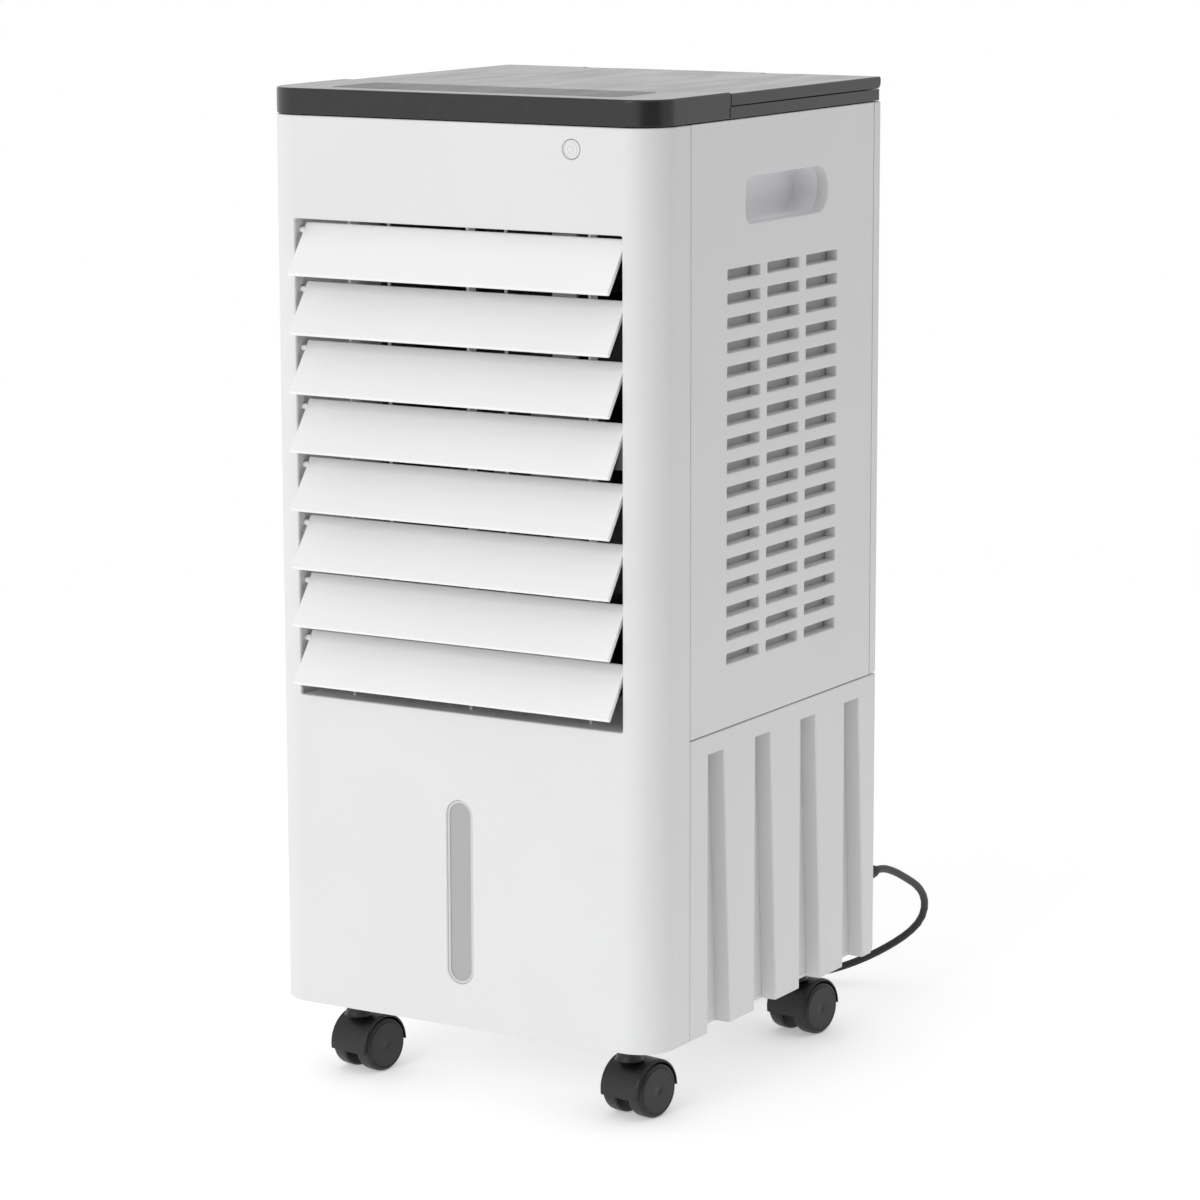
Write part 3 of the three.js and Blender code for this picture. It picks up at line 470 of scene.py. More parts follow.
def leadRoute(c):
    lay = 2 * c["radius"] + 0.1
    x, y = c["coil"]
    inner, outer = c["middle"] - lay / 2, c["middle"] + lay / 2
    low = c["clearance"] + c["radius"]
    fall = [c["exit"], (116, 281, 90.5), (116, 291, 88.6), (116.2, 304, 83.8), (116.6, 318, 77),
            (116.8, 331, 70), (116.4, 341, 62), (114.5, 347.5, 52.5), (110, 350, 42.5), (102, 349.5, 33.5),
            (91, 346.5, 25), (78.5, 342.5, 17.3), (65.5, 338, 11), (52.5, 333.3, 6.4), (40, 329.6, 3.5),
            (x + 20, y + outer, low), (x + 8, y + outer, low), (x, y + outer, low)]
    # Each layer is a turn at one radius and a turn at the other, the change made over a third of a turn.
    turns = c["columns"] * c["layers"]
    angle = np.arange(1, turns * c["turnPoints"] + c["pastLastTurn"] + 1) * (360 / c["turnPoints"])
    count = np.minimum(angle / 360, turns)
    whole = np.floor(count)
    ease = np.clip((count - whole) / 0.33, 0, 1)
    ease = ease * ease * (3 - 2 * ease)
    side = np.array([outer, inner, inner, outer, outer, inner, inner, outer, outer])
    level = low + lay * np.array([0, 0, 1, 1, 2, 2, 3, 3, 3])
    k = whole.astype(int)
    before = np.maximum(k - 1, 0)
    radius = side[before] + (side[k] - side[before]) * ease
    height = level[before] + (level[k] - level[before]) * ease
    turn = np.radians(90 + angle)
    wound = np.column_stack([x + radius * np.cos(turn), y + radius * np.sin(turn), height])
    # The last stretch slides off outside the coil, down to the plug's tail.
    off = outer + lay
    end = [wound[-1], (x - off * math.cos(math.radians(38)), y + off * math.sin(math.radians(38)), 14.6),
           (x - off * math.cos(math.radians(14)), y + off * math.sin(math.radians(14)), 9.6),
           (x - off, y - 4, 7.5), (x - off, y - 9, 7.3)]
    return np.concatenate([smoothed(fall, c["stretchPoints"]), wound, smoothed(end, 12)[1:]])


def tubeAlong(route, radius, sides=14):
    # Round the path in rings square to it, with the rings' side taken level.
    ahead = np.gradient(route, axis=0)
    ahead /= np.linalg.norm(ahead, axis=1)[:, None]
    side = np.cross(ahead, [0, 0, 1.0])
    side /= np.linalg.norm(side, axis=1)[:, None]
    above = np.cross(side, ahead)
    angle = np.linspace(0, 2 * np.pi, sides, endpoint=False)[None, :, None]
    rings = route[:, None] + radius * (np.cos(angle) * side[:, None] + np.sin(angle) * above[:, None])
    ends = np.stack([np.repeat(route[:1], sides, 0), *rings, np.repeat(route[-1:], sides, 0)])
    return [loft(ends)]


def mainsLead(c):
    route = leadRoute(c)
    cord = piece("mainsLead", tubeAlong(route, c["radius"]), "case", "leadBlack",
                 ("power_cord", "cord_coil"), sharp=60)
    x, z = c["exit"][0], c["exit"][2]
    sleeve = [(0, 250), (4.1, 250), (4.1, 258.3), (5.4, 258.3), (5.6, 258.6), (5.6, 259.8), (5.2, 260.4)]
    for step in range(5):      # ribs that get smaller towards the lead
        at, r = 261.2 + 3.2 * step, 4.7 - 0.28 * step
        sleeve += [(r, at), (r, at + 1.7), (r - 0.7, at + 2.0), (r - 0.75, at + 2.9)]
    sleeve += [(3.0, 277.6), (2.6, 278), (0, 278)]
    relief = piece("reliefSleeve", spun(sleeve, aboutY(x, z)), "case", "leadBlack",
                   ("strain_relief",))
    tie, tieOut = millimetres("cord_tie")
    band = plate(roundRect(tie[0], tieOut[0], 0.5, tieOut[2], (0.4, 0.4, 2.6, 2.6)),
                 [roundRect(tie[0] + 1.1, tieOut[0] - 1.1, 1.4, tieOut[2] - 1.1, 2.2)],
                 tieOut[1] - tie[1], 0.3, shifted(upY, (0, tie[1], 0)))
    twist = piece("cordTie", band, "case", "leadBlack", ("cord_tie",))
    low, high = millimetres("mains_plug")
    mid = (low + high) / 2
    tail = high[1]
    grip = slab(roundRect(low[0] + 0.1, high[0] - 0.1, low[2] + 0.1, high[2] - 0.1, 5),
                rolled(tail - 44, tail - 13, 2.2), upY)
    boot = [(0, tail - 14), (3.6, tail - 14), (3.6, tail - 11), (3.1, tail - 10.6), (3.5, tail - 8.6),
            (3.0, tail - 8.2), (3.3, tail - 5.4), (2.9, tail - 5), (3.1, tail - 2.4), (2.8, tail), (0, tail)]
    grip += spun(boot, aboutY(mid[0], mid[2]), 32)
    prong = [(0, tail - 62), (1.4, tail - 62), (2, tail - 60.6), (2, tail - 43), (0, tail - 43)]
    for dx in (-6.6, 6.6):
        grip += spun(prong, aboutY(mid[0] + dx, mid[2]), 20)
    plug = piece("mainsPlug", grip, "case", "casterBlack", ("mains_plug",))


mainsLead(lead)


# The front shell is one skin wrapped round both corners.
shellLow, shellHigh = millimetres("front_shell")
half = shellHigh[0]
shell = {"corner": 21, "wall": 2.5, "rim": 1.0, "flat": 105.5, "bend": 18,
         "opening": (-104.5, 104.5, 224.6, 491.6), "openingRound": 1.2,
         "window": (-8.3, 8.3, 70.9, 175.3), "receiver": (73.5, 536.0, 5.4)}


def wrapped(s, z, d):      # distance round the plan from the middle of the front, height, depth
    r, straight = shell["corner"], half - shell["corner"]
    turn = np.clip((np.abs(s) - straight) / r, 0, np.pi / 2)
    past = np.maximum(np.abs(s) - straight - r * np.pi / 2, 0)
    x = np.sign(s) * (np.minimum(np.abs(s), straight) + (r - d) * np.sin(turn))
    return np.stack([x, r - (r - d) * np.cos(turn) + past, z + 0 * x], -1)


def frontShell(c):
    # In the unrolled plan each outline is rolled over its rim and goes straight to the back. The
    # faces are flat between the two bends, and a strip of quads goes round each corner.
    straight = half - c["corner"]
    end = straight + c["corner"] * np.pi / 2 + shellHigh[1] - c["corner"]
    bend = np.linspace(c["flat"], straight + c["corner"] * np.pi / 2, c["bend"])
    low, high = shellLow[2], shellHigh[2]

    def outer(grow):
        side = np.concatenate([bend, [end + grow]])
        s = np.concatenate([-side[::-1], side])
        return np.concatenate([np.column_stack([s, np.full(len(s), low - grow)]),
                               np.column_stack([s[::-1], np.full(len(s), high + grow)])])

    x0, x1, z0, z1 = c["opening"]
    w = c["window"]
    holes = [roundRect(x0, x1, z0, z1, c["openingRound"]), roundRect(*w, w[1], 10), ringOf(*c["receiver"])]
    turn = np.radians(np.linspace(0, 90, 4))
    parts = []
    for outline, sign in [(outer, -1)] + [(hole, 1) for hole in holes]:
        rim = c["rim"]
        steps = [(sign * rim * (1 - math.sin(t)), rim * (1 - math.cos(t))) for t in turn] + [(0.0, c["wall"])]
        parts.append(loft(np.stack([wrapped(*outline(g).T, d) for g, d in steps])))
    for grow, depth in ((c["rim"], 0.0), (0.0, c["wall"])):
        border = bent([(-c["flat"], low + grow), (c["flat"], low + grow), (c["flat"], high - grow),
                       (-c["flat"], high - grow)])(0)
        parts.append(filled([border] + [hole(grow) for hole in holes], depth, wrapped))
        for sign in (1, -1):
            s = sign * np.concatenate([bend, [end - grow]])
            grid = wrapped(np.stack([s, s]), np.array([[low + grow], [high - grow]]), depth)
            parts.append(loft(grid, closed=False))
    return parts


piece("shellSkin", frontShell(shell), "case", "caseWhite", ("front_shell",))

# The level window is a pane set back in the shell, with a thin raised rim round it.
windowBack = millimetres("level_window")[1][1]
windowFoot, windowHead = shell["window"][2:]
pane = roundRect(-8.0, 8.0, windowFoot + gap, windowHead - gap, 8.0, 10)
piece("windowPane", slab(pane, rolled(1.5, windowBack, 0.5), upY), "case", "windowGrey",
      ("level_window",))
paneFrame = plate(roundRect(-8.25, 8.25, windowFoot + 0.1, windowHead - 0.1, 8.2, 10),
                  [roundRect(-6.7, 6.7, windowFoot + 1.7, windowHead - 1.7, 6.6, 10)], 0.7, 0.3,
                  shifted(upY, (0, 0.9, 0)))
piece("windowRim", paneFrame, "case", "lensGrey")


def receiverEye(x, z, r):      # a disc with two raised rings
    profile = [(0, 0.35), (1.2, 0.35), (1.4, 0.6), (2.3, 0.6), (2.5, 0.35), (3.5, 0.35), (3.7, 0.6),
               (4.4, 0.6), (4.6, 0.35), (r - 0.5, 0.35), (r - gap, 0.55), (r - gap, 4.2), (0, 4.2)]
    return spun(profile, aboutY(x, z))


piece("receiverEye", receiverEye(*shell["receiver"]), "case", "caseWhite", ("receiver_lens",))
print("front shell")


# A louvre blade is a slightly crowned slat with its pivots and its crank.
blade = {"half": 102.2, "tip": (-18, -22.7), "head": (2, 4.8), "thick": 2.6, "crown": 0.5, "pivot": 1.8,
         "pin": 107.1, "arm": (107.6, 109.6), "crank": 10}


def bladeSection(c):      # a rounded bar from tip to head, bowed forwards by a parabola
    tip, head = np.array(c["tip"], float), np.array(c["head"], float)
    length = float(np.linalg.norm(head - tip))
    along = (head - tip) / length
    back = np.array([along[1], -along[0]])
    flat = roundRect(0, length, 0, c["thick"], (0.7, 1.1, 1.1, 0.9), 5)

    def outline(grow=0.0):
        u, v = flat(grow).T
        swell = c["crown"] * (1 - (2 * u / length - 1) ** 2)
        return tip + u[:, None] * along + v[:, None] * back - swell[:, None] * back
    return outline


def bladeParts(c, centre):
    # The section carried across, a round pivot at each end, then the crank arm and its pin.
    _, y, z = centre
    put = shifted(upX, (0, y, z))
    parts = slab(bladeSection(c), rolled(-c["half"], c["half"], 0.5), put)
    pin = ringOf(0, 0, c["pivot"], 20)
    parts += slab(pin, [(0, -c["pin"]), (0, 1 - c["half"])], put)
    parts += slab(pin, [(0, c["half"] - 1), (0, c["arm"][0] + 0.5)], put)
    parts += slab(roundRect(-2.6, c["crank"] + 2.6, -2.6, 2.6, 2.58), rolled(*c["arm"], 0.3), put)
    parts += slab(ringOf(c["crank"], 0, 1.35, 16), [(0, c["arm"][1] - 0.5), (0, c["arm"][1] + 2.7)], put)
    return parts


joints = {joint["name"]: joint for joint in frame["joints"]}


def jointPlace(name):      # a joint's point in this script's millimetres
    return (np.array(joints[name]["pos_m"]) - [0, frontFace, 0]) * 1000


for number in range(1, 9):
    centre = jointPlace(f"louvre_{number}_tilt")
    # the blades get the paler white, painted light
    piece(f"bladeSlat{number}", bladeParts(blade, centre), f"blade_{number}", "bladeWhite",
          (f"louvre_blade_{number}",))
print("blades")


# A side panel is a board with seventeen rows of slots and a grip pocket.
panelLow, panelHigh = millimetres("side_panel_right")
sides = {"rim": 0.7, "thick": 6.8, "rows": 17, "pitch": 13.21, "slot": (37.2, 6.0), "top": 467.9,
         "columns": (78.2, 123.4, 168.6), "grip": (98.2, 194.2, 490.6, 516.6),
         "gripRound": (7, 12.5, 12.5, 7), "gripDepth": 22, "cupRim": 1.6}


def sidePanel(c, sign):      # a plate with rows of rounded slots and the grip's hole
    outer = roundRect(panelLow[1], panelHigh[1], panelLow[2], panelHigh[2], 1.0, 3)
    rows = c["top"] - c["pitch"] * np.arange(c["rows"])
    slots = [roundRect(y, y + c["slot"][0], z - c["slot"][1], z, 0.8, 3) for z in rows for y in c["columns"]]
    grip = roundRect(*c["grip"], c["gripRound"], 9)
    return plate(outer, slots + [grip], c["thick"], c["rim"], facingX(sign * half))


def gripCup(c, sign):      # behind the panel: a flange, a wall that rounds into the floor, and its back
    grip, deep, rim = roundRect(*c["grip"], c["gripRound"], 9), c["gripDepth"], c["cupRim"]
    turn = np.radians(np.linspace(0, 90, 6))
    inside = [(0.3, c["thick"] + 0.1), (0.0, c["thick"] + 0.3)]
    inside += [(-rim * (1 - math.cos(t)), deep - rim * (1 - math.sin(t))) for t in turn]
    outside = [(skin, deep + skin), (skin, c["thick"] + 0.1), (0.3, c["thick"] + 0.1)]
    put = facingX(sign * half)
    return [walls(grip, inside, put), walls(grip, outside, put), filled([grip(-rim)], deep, put),
            filled([grip(skin)], deep + skin, put)]


for word, sign in (("right", 1), ("left", -1)):
    piece(f"sideSkin{word.capitalize()}", sidePanel(sides, sign), "case", "caseWhite",
          (f"side_panel_{word}",))
    # the cup takes the paler white, painted light against the pocket's shade
    piece(f"gripCup{word.capitalize()}", gripCup(sides, sign), "case", "cupWhite")
print("side panels")


# The base has notched side boards over a plain core, a floor and a frame round the tank.
baseLow, baseHigh = millimetres("base_chassis")
base = {"rim": 0.9, "first": 58, "pitch": 53.7, "count": 4, "grooveTop": 203.6, "top": 17.5, "foot": 26.0,
        "deep": 9.5, "lap": 0.05, "wall": 2.5, "floor": 3.0, "rear": 8.0}
tankLow, tankHigh = millimetres("water_tank")
endLow, endHigh = millimetres("tank_fascia")


def baseParts(c):
    # Each side board's outline is notched from its foot, a notch being upright in front and sloping
    # behind. The plain core closes the notches from inside.
    front, back, low, high = shellHigh[1] + gap, baseHigh[1], baseLow[2], baseHigh[2]
    corners = [(front, low)]
    for y in c["first"] + c["pitch"] * np.arange(c["count"]):
        corners += [(y, low), (y, c["grooveTop"]), (y + c["top"], c["grooveTop"]), (y + c["foot"], low)]
    outline = bent(corners + [(back - 3, low), (back, low + 3), (back, high), (front, high)])
    parts = []
    inside = half - c["deep"] - c["lap"]
    for sign in (1, -1):
        parts += plate(outline, [], c["deep"], c["rim"], facingX(sign * half))
        inner = roundRect(front, back - c["rear"] - 0.1, low + c["floor"] + 0.1, high, 0.5, 2)
        parts += plate(inner, [], c["wall"], 0.1, facingX(sign * inside))
    floorLevels = rolled(low, low + c["floor"], 0.3)
    parts += slab(roundRect(-inside, inside, front, back - c["rear"] - 0.1, 0.4, 2), floorLevels, upZ)
    inset = shell["wall"] + gap
    bow = shell["corner"] - inset
    parts += slab(roundRect(inset - half, half - inset, inset, front - 0.1, (bow, bow, 0.4, 0.4), 9),
                  floorLevels, upZ)
    bay = roundRect(endLow[0] - gap, endHigh[0] + gap, endLow[2] - gap, endHigh[2] + gap, 0.8, 3)
    frameOuter = roundRect(-inside, inside, low, high, 0.6, 3)
    parts += plate(frameOuter, [bay], c["rear"], 0.6, facingBack(back))
    return parts


piece("baseSkin", baseParts(base), "case", "caseWhite", ("base_chassis",))
print("base")


# At the back are the cover, the pull-off grille and the wet pad behind it.
coverLow, coverHigh = millimetres("rear_cover")
grilleLow, grilleHigh = millimetres("rear_grille")
rear = {"rim": 0.9, "rows": 20, "pitch": 12.0, "slit": (84, 5), "columns": (-88, 4), "firstSlit": 8.0,
        "thick": 6.0}
fromBack = facingBack(coverHigh[1])
intake = roundRect(grilleLow[0] - gap, grilleHigh[0] + gap, grilleLow[2] - gap, grilleHigh[2] + gap, 1.2, 4)
cover = plate(roundRect(-half, half, coverLow[2], coverHigh[2], 1.2, 4), [intake], 7.9, rear["rim"], fromBack)
piece("rearSkin", cover, "case", "caseWhite", ("rear_cover",))


def grilleParts(c):      # a plate with two columns of slits and a finger pocket above them
    outer = roundRect(grilleLow[0], grilleHigh[0], grilleLow[2], grilleHigh[2], 1.0, 4)
    rows = grilleLow[2] - gap + c["firstSlit"] + c["pitch"] * np.arange(c["rows"])
    slits = [roundRect(x, x + c["slit"][0], z, z + c["slit"][1], 2.0, 4) for z in rows for x in c["columns"]]
    pull = roundRect(-28, 28, grilleHigh[2] - 17.7, grilleHigh[2] - 3.7, 6.9, 6)
    return plate(outer, slits, c["thick"], 0.6, fromBack, [(pull, 3.6, 1.2)])


piece("grilleSkin", grilleParts(rear), "intake_grille", "caseWhite", ("rear_grille",))

padLow, padHigh = millimetres("cooling_pad")
pad = {"wave": 9.0, "deep": 1.3, "acrossPoints": 150, "upPoints": 90}


def padParts(c):
    # Flutes slant at 45 degrees one way on the back face and the other way on the front.
    x = np.linspace(padLow[0], padHigh[0], c["acrossPoints"])
    z = np.linspace(padLow[2], padHigh[2], c["upPoints"])[:, None]
    swell = c["deep"] * (0.5 + 0.5 * np.cos(2 * np.pi * (x + z) / c["wave"]))
    other = c["deep"] * (0.5 + 0.5 * np.cos(2 * np.pi * (x - z) / c["wave"]))
    backFace = np.stack([x + 0 * z, padHigh[1] - swell, z + 0 * x], -1)
    nearFace = np.stack([x + 0 * z, padLow[1] + other, z + 0 * x], -1)[:, ::-1]
    ends = [loft(np.stack([backFace[k], nearFace[k][::-1]]), closed=False) for k in (0, -1)]
    return [loft(np.concatenate([backFace, nearFace], 1))] + ends


piece("padCore", padParts(pad), "case", "padBrown", ("cooling_pad",), sharp=60)
print("back")


# The black top is a control panel and a lid frame with its filling well and hinge lugs.
topHigh = millimetres("top_panel")[1]
hinge = jointPlace("lid_hinge")
top = {"rim": 1.3, "seam": 81, "corner": 21, "frameTop": hinge[2] - 3.7, "well": (-91, 91, 106, 229),
       "lugs": (-60, 60), "lugHalf": 9.7, "low": 548.8}


def topParts(c):
    # The panel is a slab with two round corners. The ledge behind it is a plate with the well's
    # hole, and each lug is a small plate round the hinge pin.
    front = roundRect(-half, half, 0, c["seam"], (c["corner"], c["corner"], 0.5, 0.5), 14)
    levels = rolled(c["low"], topHigh[2], 0.5)[:4] + rolled(c["low"], topHigh[2], c["rim"], 5)[6:]
    parts = slab(front, levels, upZ)
    ledge = roundRect(-half, half, c["seam"] - 2, topHigh[1], (0.5, 0.5, 3, 3), 5)
    well = roundRect(*c["well"], 0.6, 3)
    parts += plate(ledge, [well], c["frameTop"] - c["low"], 0.25, facingUp(c["frameTop"]))
    y, z = hinge[1], hinge[2]
    for x in c["lugs"]:
        lug = roundRect(y - 3.3, y + 3.3, c["frameTop"] - 0.8, z + 3.3, (0.3, 0.3, 3.2, 3.2), 6)
        parts += plate(lug, [ringOf(y, z, 1.8, 20)], 2 * c["lugHalf"], 0.4,
                       lambda a, b, d, x=x: np.stack([x - c["lugHalf"] + d, a, b], -1))
    return parts


piece("topSlab", topParts(top), "case", "lidBlack", ("top_panel",))


def lidParts(c):
    # The side outline ends in a half circle about the pin. Beside each lug it is cut back.
    y, z, r = hinge[1], hinge[2], 3.4
    outline = roundRect(c["seam"] + 0.5, y + r, z - r, z + r, (0.4, r - 0.01, 1.5, 0.9), 8)
    reach, notch = c["lugHalf"] + gap, y - 4.2
    stations = [(-half, -0.6, y + r), (-half + 0.2, -0.2, y + r), (-half + 0.6, 0.0, y + r)]
    for x in c["lugs"]:
        stations += [(x - reach, 0, y + r), (x - reach + 0.01, 0, notch), (x + reach - 0.01, 0, notch),
                     (x + reach, 0, y + r)]
    stations += [(half - 0.6, 0.0, y + r), (half - 0.2, -0.2, y + r), (half, -0.6, y + r)]
    rings = []
    for x, grow, limit in stations:
        a, b = outline(grow).T
        rings.append(upX(np.minimum(a, limit), b, np.full(len(a), x)))
    ends = [filled([outline(g)], s, upX) for s, g in ((-half, -0.6), (half, -0.6))]
    return [loft(np.stack(rings))] + ends


piece("lidSlab", lidParts(top), "lid", "lidBlack", ("fill_lid",))

# A dull strip of touch film lies on the panel, with rings, bars and dots on it and no letters.
marks = {"strip": (-92, 92, 17, 63), "stripRound": 6, "y": 42, "x": (-70, -42, -14, 14, 42, 70), "size": 3.8,
         "lift": 0.05}


def raisedBy(lift):      # outlines on the panel's top, their faces lifted this much
    return lambda a, b, d: np.stack([a, b, topHigh[2] + lift * (1 - d)], -1)


def markParts(c):      # in turn a ring, three bars and six dots in a circle
    put = raisedBy(2 * c["lift"])
    parts = []
    for k, x in enumerate(c["x"]):
        y, size = c["y"], c["size"]
        if k % 3 == 0:
            parts += plate(ringOf(x, y, size), [ringOf(x, y, size - 0.8)], 1.0, 0.02, put)
        elif k % 3 == 1:
            for row in (y - 2.4, y, y + 2.4):
                bar = roundRect(x - 3.4, x + 3.4, row - 0.45, row + 0.45, 0.4, 3)
                parts += plate(bar, [], 1.0, 0.02, put)
        else:
            for turn in np.arange(6) * math.pi / 3:
                dot = ringOf(x + 2.9 * math.cos(turn), y + 2.9 * math.sin(turn), 0.8, 16)
                parts += plate(dot, [], 1.0, 0.02, put)
    return parts


film = plate(roundRect(*marks["strip"], marks["stripRound"]), [], 1.0, 0.04, raisedBy(marks["lift"]))
piece("touchFilm", film, "case", "filmBlack")
piece("touchMarks", markParts(marks), "case", "markGrey")
print("top")


# The water tank is a tub and an end plate with its grip, and the drain plug goes through both.
tank = {"wall": 2.4, "plate": 250, "grip": (-38, 38, 158, 184), "gripDepth": 24, "drain": (70, 77, 10),
        "rearTop": 155.3}


def tankParts(c):
    # The tub's wall goes up outside, over its rim and down inside to the floor.
    tub = roundRect(tankLow[0], tankHigh[0], tankLow[1], c["plate"] - 0.1, 5, 6)
    low, high, t = tankLow[2], tankHigh[2], c["wall"]
    levels = rolled(low, high, 3, 5)[:6] + [(0, high - 0.8), (-0.3, high - 0.2), (-0.8, high),
                                            (-t + 0.4, high), (-t, high - 0.6), (-t, low + t + 3),
                                            (-t - 0.9, low + t + 0.9), (-t - 3, low + t)]
    parts = slab(tub, levels, upZ)
    for points, _ in parts:      # the rear wall is cut down, so that the grip pocket hangs over it
        rear = (points[:, 1] > c["plate"] - 10) & (np.abs(points[:, 0]) < tankHigh[0] - 4.9)
        points[rear, 2] = np.minimum(points[rear, 2], c["rearTop"])
    outer = roundRect(endLow[0], endHigh[0], endLow[2], endHigh[2], 1.2, 4)
    x, z, r = c["drain"]
    parts += plate(outer, [], 7.9, 0.8, fromBack,
                   [(roundRect(*c["grip"], 12.9, 9), c["gripDepth"], 4.0), (ringOf(x, z, r), 4.8, 0.5)])
    return parts


piece("tankSkin", tankParts(tank), "tank", "tankMilk", ("water_tank", "tank_fascia"))


def drainPlug(c):      # a turned plug with a flange, and a finger bar across its head
    x, z, _ = c["drain"]
    back = coverHigh[1]
    profile = [(0, back - 12), (5.0, back - 12), (5.5, back - 10), (5.5, back - 4.5), (9.3, back - 4.5),
               (9.6, back - 4.2), (9.6, back - 1.2), (9.2, back - 0.4), (8.4, back), (7.2, back),
               (6.8, back - 0.6), (2.2, back - 0.6), (1.8, back), (0, back)]
    parts = spun(profile, aboutY(x, z))
    bar = roundRect(x - 6.2, x + 6.2, z - 1.1, z + 1.1, 1.05)
    return parts + slab(bar, rolled(back - 1.2, back - 0.05, 0.3), upY)


piece("drainCap", drainPlug(tank), "tank_drain", "leadBlack", ("drain_plug",))
print("tank")


# A caster is a hood over a pair of dished wheels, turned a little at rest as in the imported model.
caster = {"hood": 17.7, "under": 16.2, "half": 13.7, "web": 2.5, "start": 0.5, "end": 190.0, "neck": 7.0,
          "top": 40.0, "eye": 5.4, "trail": 8.0, "axleHeight": 15.5}


def turnedAbout(parts, stem, angle):      # made about the stem at the origin, then turned and set down
    c, s = math.cos(angle), math.sin(angle)
    spin = np.array([[c, -s, 0], [s, c, 0], [0, 0, 1]])
    return [(points @ spin.T + [stem[0], stem[1], 0], faces) for points, faces in parts]


def hoodParts(c):
    # The hood's section across the wheels, with round shoulders, carried round the axle.
    inner, outer, h = c["under"], c["hood"], c["half"]
    section = roundRect(-h, h, inner, outer, (0.5, 0.5, 1.4, 1.4), 5)()
    angle = np.radians(np.linspace(c["start"], c["end"], 44))[:, None]
    across, reach = section.T
    rings = np.stack([across + 0 * angle, c["trail"] + reach * np.cos(angle),
                      c["axleHeight"] + reach * np.sin(angle)], -1)
    parts = [loft(rings)]
    for turn in (angle[0, 0], angle[-1, 0]):
        parts.append(filled([section], 0.0, lambda a, b, d, turn=turn: np.stack(
            [a, c["trail"] + b * math.cos(turn), c["axleHeight"] + b * math.sin(turn)], -1)))
    sweep = np.radians(np.linspace(c["start"] + 0.5, c["end"] - 0.5, 30))
    low = np.radians([215, 250, 290, 325])
    around = np.concatenate([np.column_stack([(inner + 0.6) * np.cos(sweep), (inner + 0.6) * np.sin(sweep)]),
                             np.column_stack([c["eye"] * np.cos(low), c["eye"] * np.sin(low)])])
    web = bent(around + [c["trail"], c["axleHeight"]])
    parts += slab(web, [(-0.3, -c["web"]), (0, 0.3 - c["web"]), (0, c["web"] - 0.3), (-0.3, c["web"])], upX)
    thick, top = c["neck"], c["top"]
    neck = [(0, 33.0), (thick + 1.2, 33.0), (thick + 0.5, 34.2), (thick, 35.8), (thick, top - 0.7),
            (thick - 0.7, top), (4.5, top), (4.4, top - 1.0), (0, top - 1.0)]
    return parts + spun(neck, upZ, 36)


def wheelParts(c):
    # One wheel's half profile, from the middle of its outer face to the tyre and in to the axle.
    face = [(0, 14.1), (2.6, 14.1), (2.8, 14.25), (8.0, 14.4), (12.6, 14.3), (12.9, 13.9), (13.3, 13.9),
            (13.6, 14.2), (14.5, 13.9), (15.1, 13.3), (15.4, 12.4), (15.5, 11.2), (15.5, 6.2), (15.3, 5.3),
            (14.6, 4.7), (12, 4.6), (2.0, 4.6)]
    profile = face + [(r, -h) for r, h in reversed(face)]
    return spun(profile, aboutX(c["trail"], c["axleHeight"]), 56)


for row in ("front", "rear"):
    for word in ("left", "right"):
        stem = jointPlace(f"caster_{row}_{word}_swivel")
        way = joints[f"wheels_{row}_{word}_roll"]["axis"]
        angle = math.atan2(way[1], way[0])
        tag = row.capitalize() + word.capitalize()
        hood, wheels = (turnedAbout(made(caster), stem, angle) for made in (hoodParts, wheelParts))
        piece(f"casterHood{tag}", hood, f"caster_{row}_{word}", "casterBlack",
              (f"caster_hood_{row}_{word}",))
        piece(f"casterWheels{tag}", wheels, f"wheels_{row}_{word}", "casterBlack",
              (f"caster_wheels_{row}_{word}",))
print("casters")


# The CAD nodes whose shape is right keep it and get a finish.
carried = {
    "linerGrey": ["side_liner_right", "side_liner_left", "pad_frame", "motor_mount"],
    "ductWhite": ["outlet_duct"],
    # the swing vanes take the painted shade on their faces, behind a pale front edge
    "vaneEdge": ["swing_vane_1", "swing_vane_2", "swing_vane_3"],
    "ductGrey": ["dust_screen", "louvre_link_bar", "fan_shroud", "swing_link_bar"],
    "tankMilk": ["water_distributor", "ice_tray"],
    "casterBlack": ["blower_wheel", "water_pump"],
    "brightSteel": ["lid_hinge_pin", "caster_stem_front_left", "caster_stem_front_right",
                    "caster_stem_rear_left", "caster_stem_rear_right"],
    "motorGrey": ["swing_motor", "fan_motor"],
    "boardGreen": ["control_board"],
    "hoseClear": ["riser_hose"],
}
for finish, names in carried.items():
    for name in names:
        for place in frame["nodes"][name].material_slots:
            place.material = finishes[finish]
print("carried nodes")


# The studio has a white floor, a sky that is dimmer overhead, to the right and behind the camera,
# and a broad lamp in front.
studio = {"bright": 1.0, "dim": 0.69, "dimWay": (0.97, 0.05, 0.0), "from": 0.2, "to": 0.9, "zenith": 0.78,
          "dark": 0.08, "darkWay": (0.86, -0.51, 0.05), "darkFrom": 0.74, "darkTo": 0.96,
          "lamp": (-0.2, -3.3, 1.7), "watts": 30.0, "lampSize": 1.4, "floorReach": 1.6, "floorGlow": 0.32}


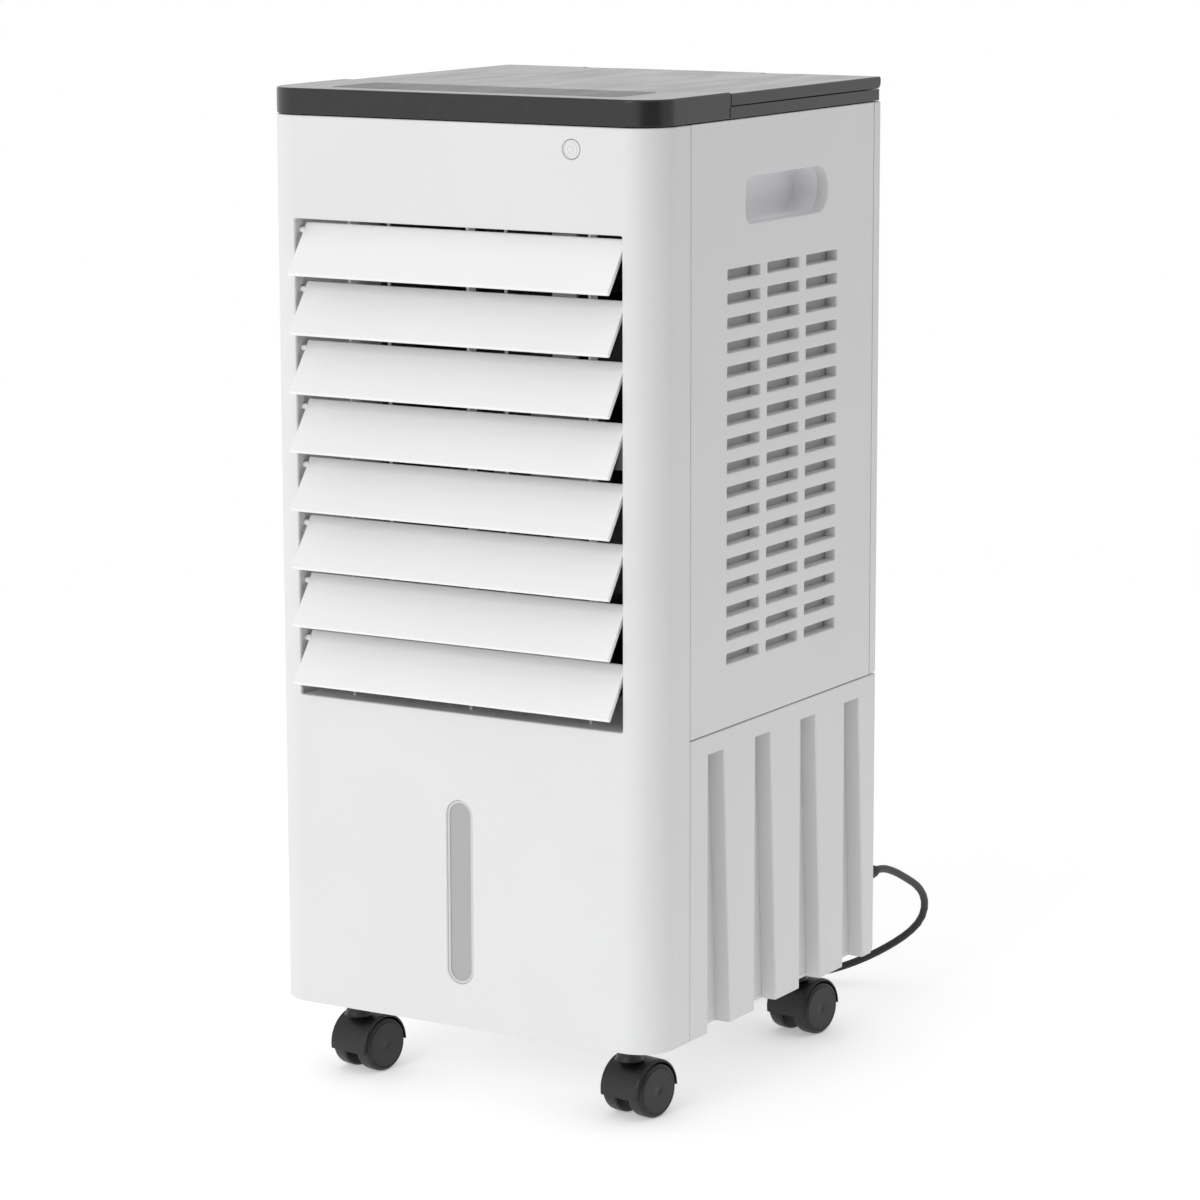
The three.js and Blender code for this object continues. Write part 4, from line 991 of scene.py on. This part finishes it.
def sky(c):      # the tone falls towards three directions, by a smooth step of the cosine to each
    world = bpy.data.worlds.new("studioSky")
    world.use_nodes = True
    nodes = Nodes(world.node_tree)
    way = nodes.node("ShaderNodeTexCoord", out="Generated")

    def toward(direction, low, high):
        dot = nodes.node("ShaderNodeVectorMath", {"operation": "DOT_PRODUCT"}, {0: way, 1: direction},
                         out="Value")
        return nodes.between(dot, low, high, "SMOOTHSTEP")

    def grey(level):
        return (level, level, level, 1)

    tone = nodes.mix(toward((0, 0, 1), 0.1, 0.6), grey(c["bright"]), grey(c["zenith"]))
    tone = nodes.mix(toward(c["dimWay"], c["from"], c["to"]), tone, grey(c["dim"]))
    tone = nodes.mix(toward(c["darkWay"], c["darkFrom"], c["darkTo"]), tone, grey(c["dark"]))
    world.node_tree.links.new(tone.socket, world.node_tree.nodes["Background"].inputs["Color"])
    bpy.context.scene.world = world


def lamp(c):
    data = bpy.data.lights.new("frontLamp", "AREA")
    data.shape, data.size, data.energy = "SQUARE", c["lampSize"], c["watts"]
    made = bpy.data.objects.new("frontLamp", data)
    made.location = c["lamp"]
    made.rotation_euler = (Vector((0, 0, 0.32)) - made.location).to_track_quat("-Z", "Y").to_euler()
    bpy.context.scene.collection.objects.link(made)


def floorDisc(c):      # one round face that glows slightly
    paint = Paint("paleFloor", (0.9, 0.9, 0.9), 0.7, Emission_Color=(1, 1, 1, 1),
                  Emission_Strength=c["floorGlow"])
    paint.feed("Roughness", 0.65 + 0.1 * paint.noise(30.0))
    angle = np.linspace(0, 2 * np.pi, 96, endpoint=False)
    rim = np.column_stack([np.cos(angle), np.sin(angle), 0 * angle]) * c["floorReach"]
    mesh = bpy.data.meshes.new("floor")
    mesh.from_pydata(rim.tolist(), [], [list(range(96))])
    made = bpy.data.objects.new("floor", mesh)
    bpy.context.scene.collection.objects.link(made)
    made.data.materials.append(paint.material)


bpy.context.scene.view_settings.view_transform = "Standard"
sky(studio)
lamp(studio)
floorDisc(studio)
print("studio")
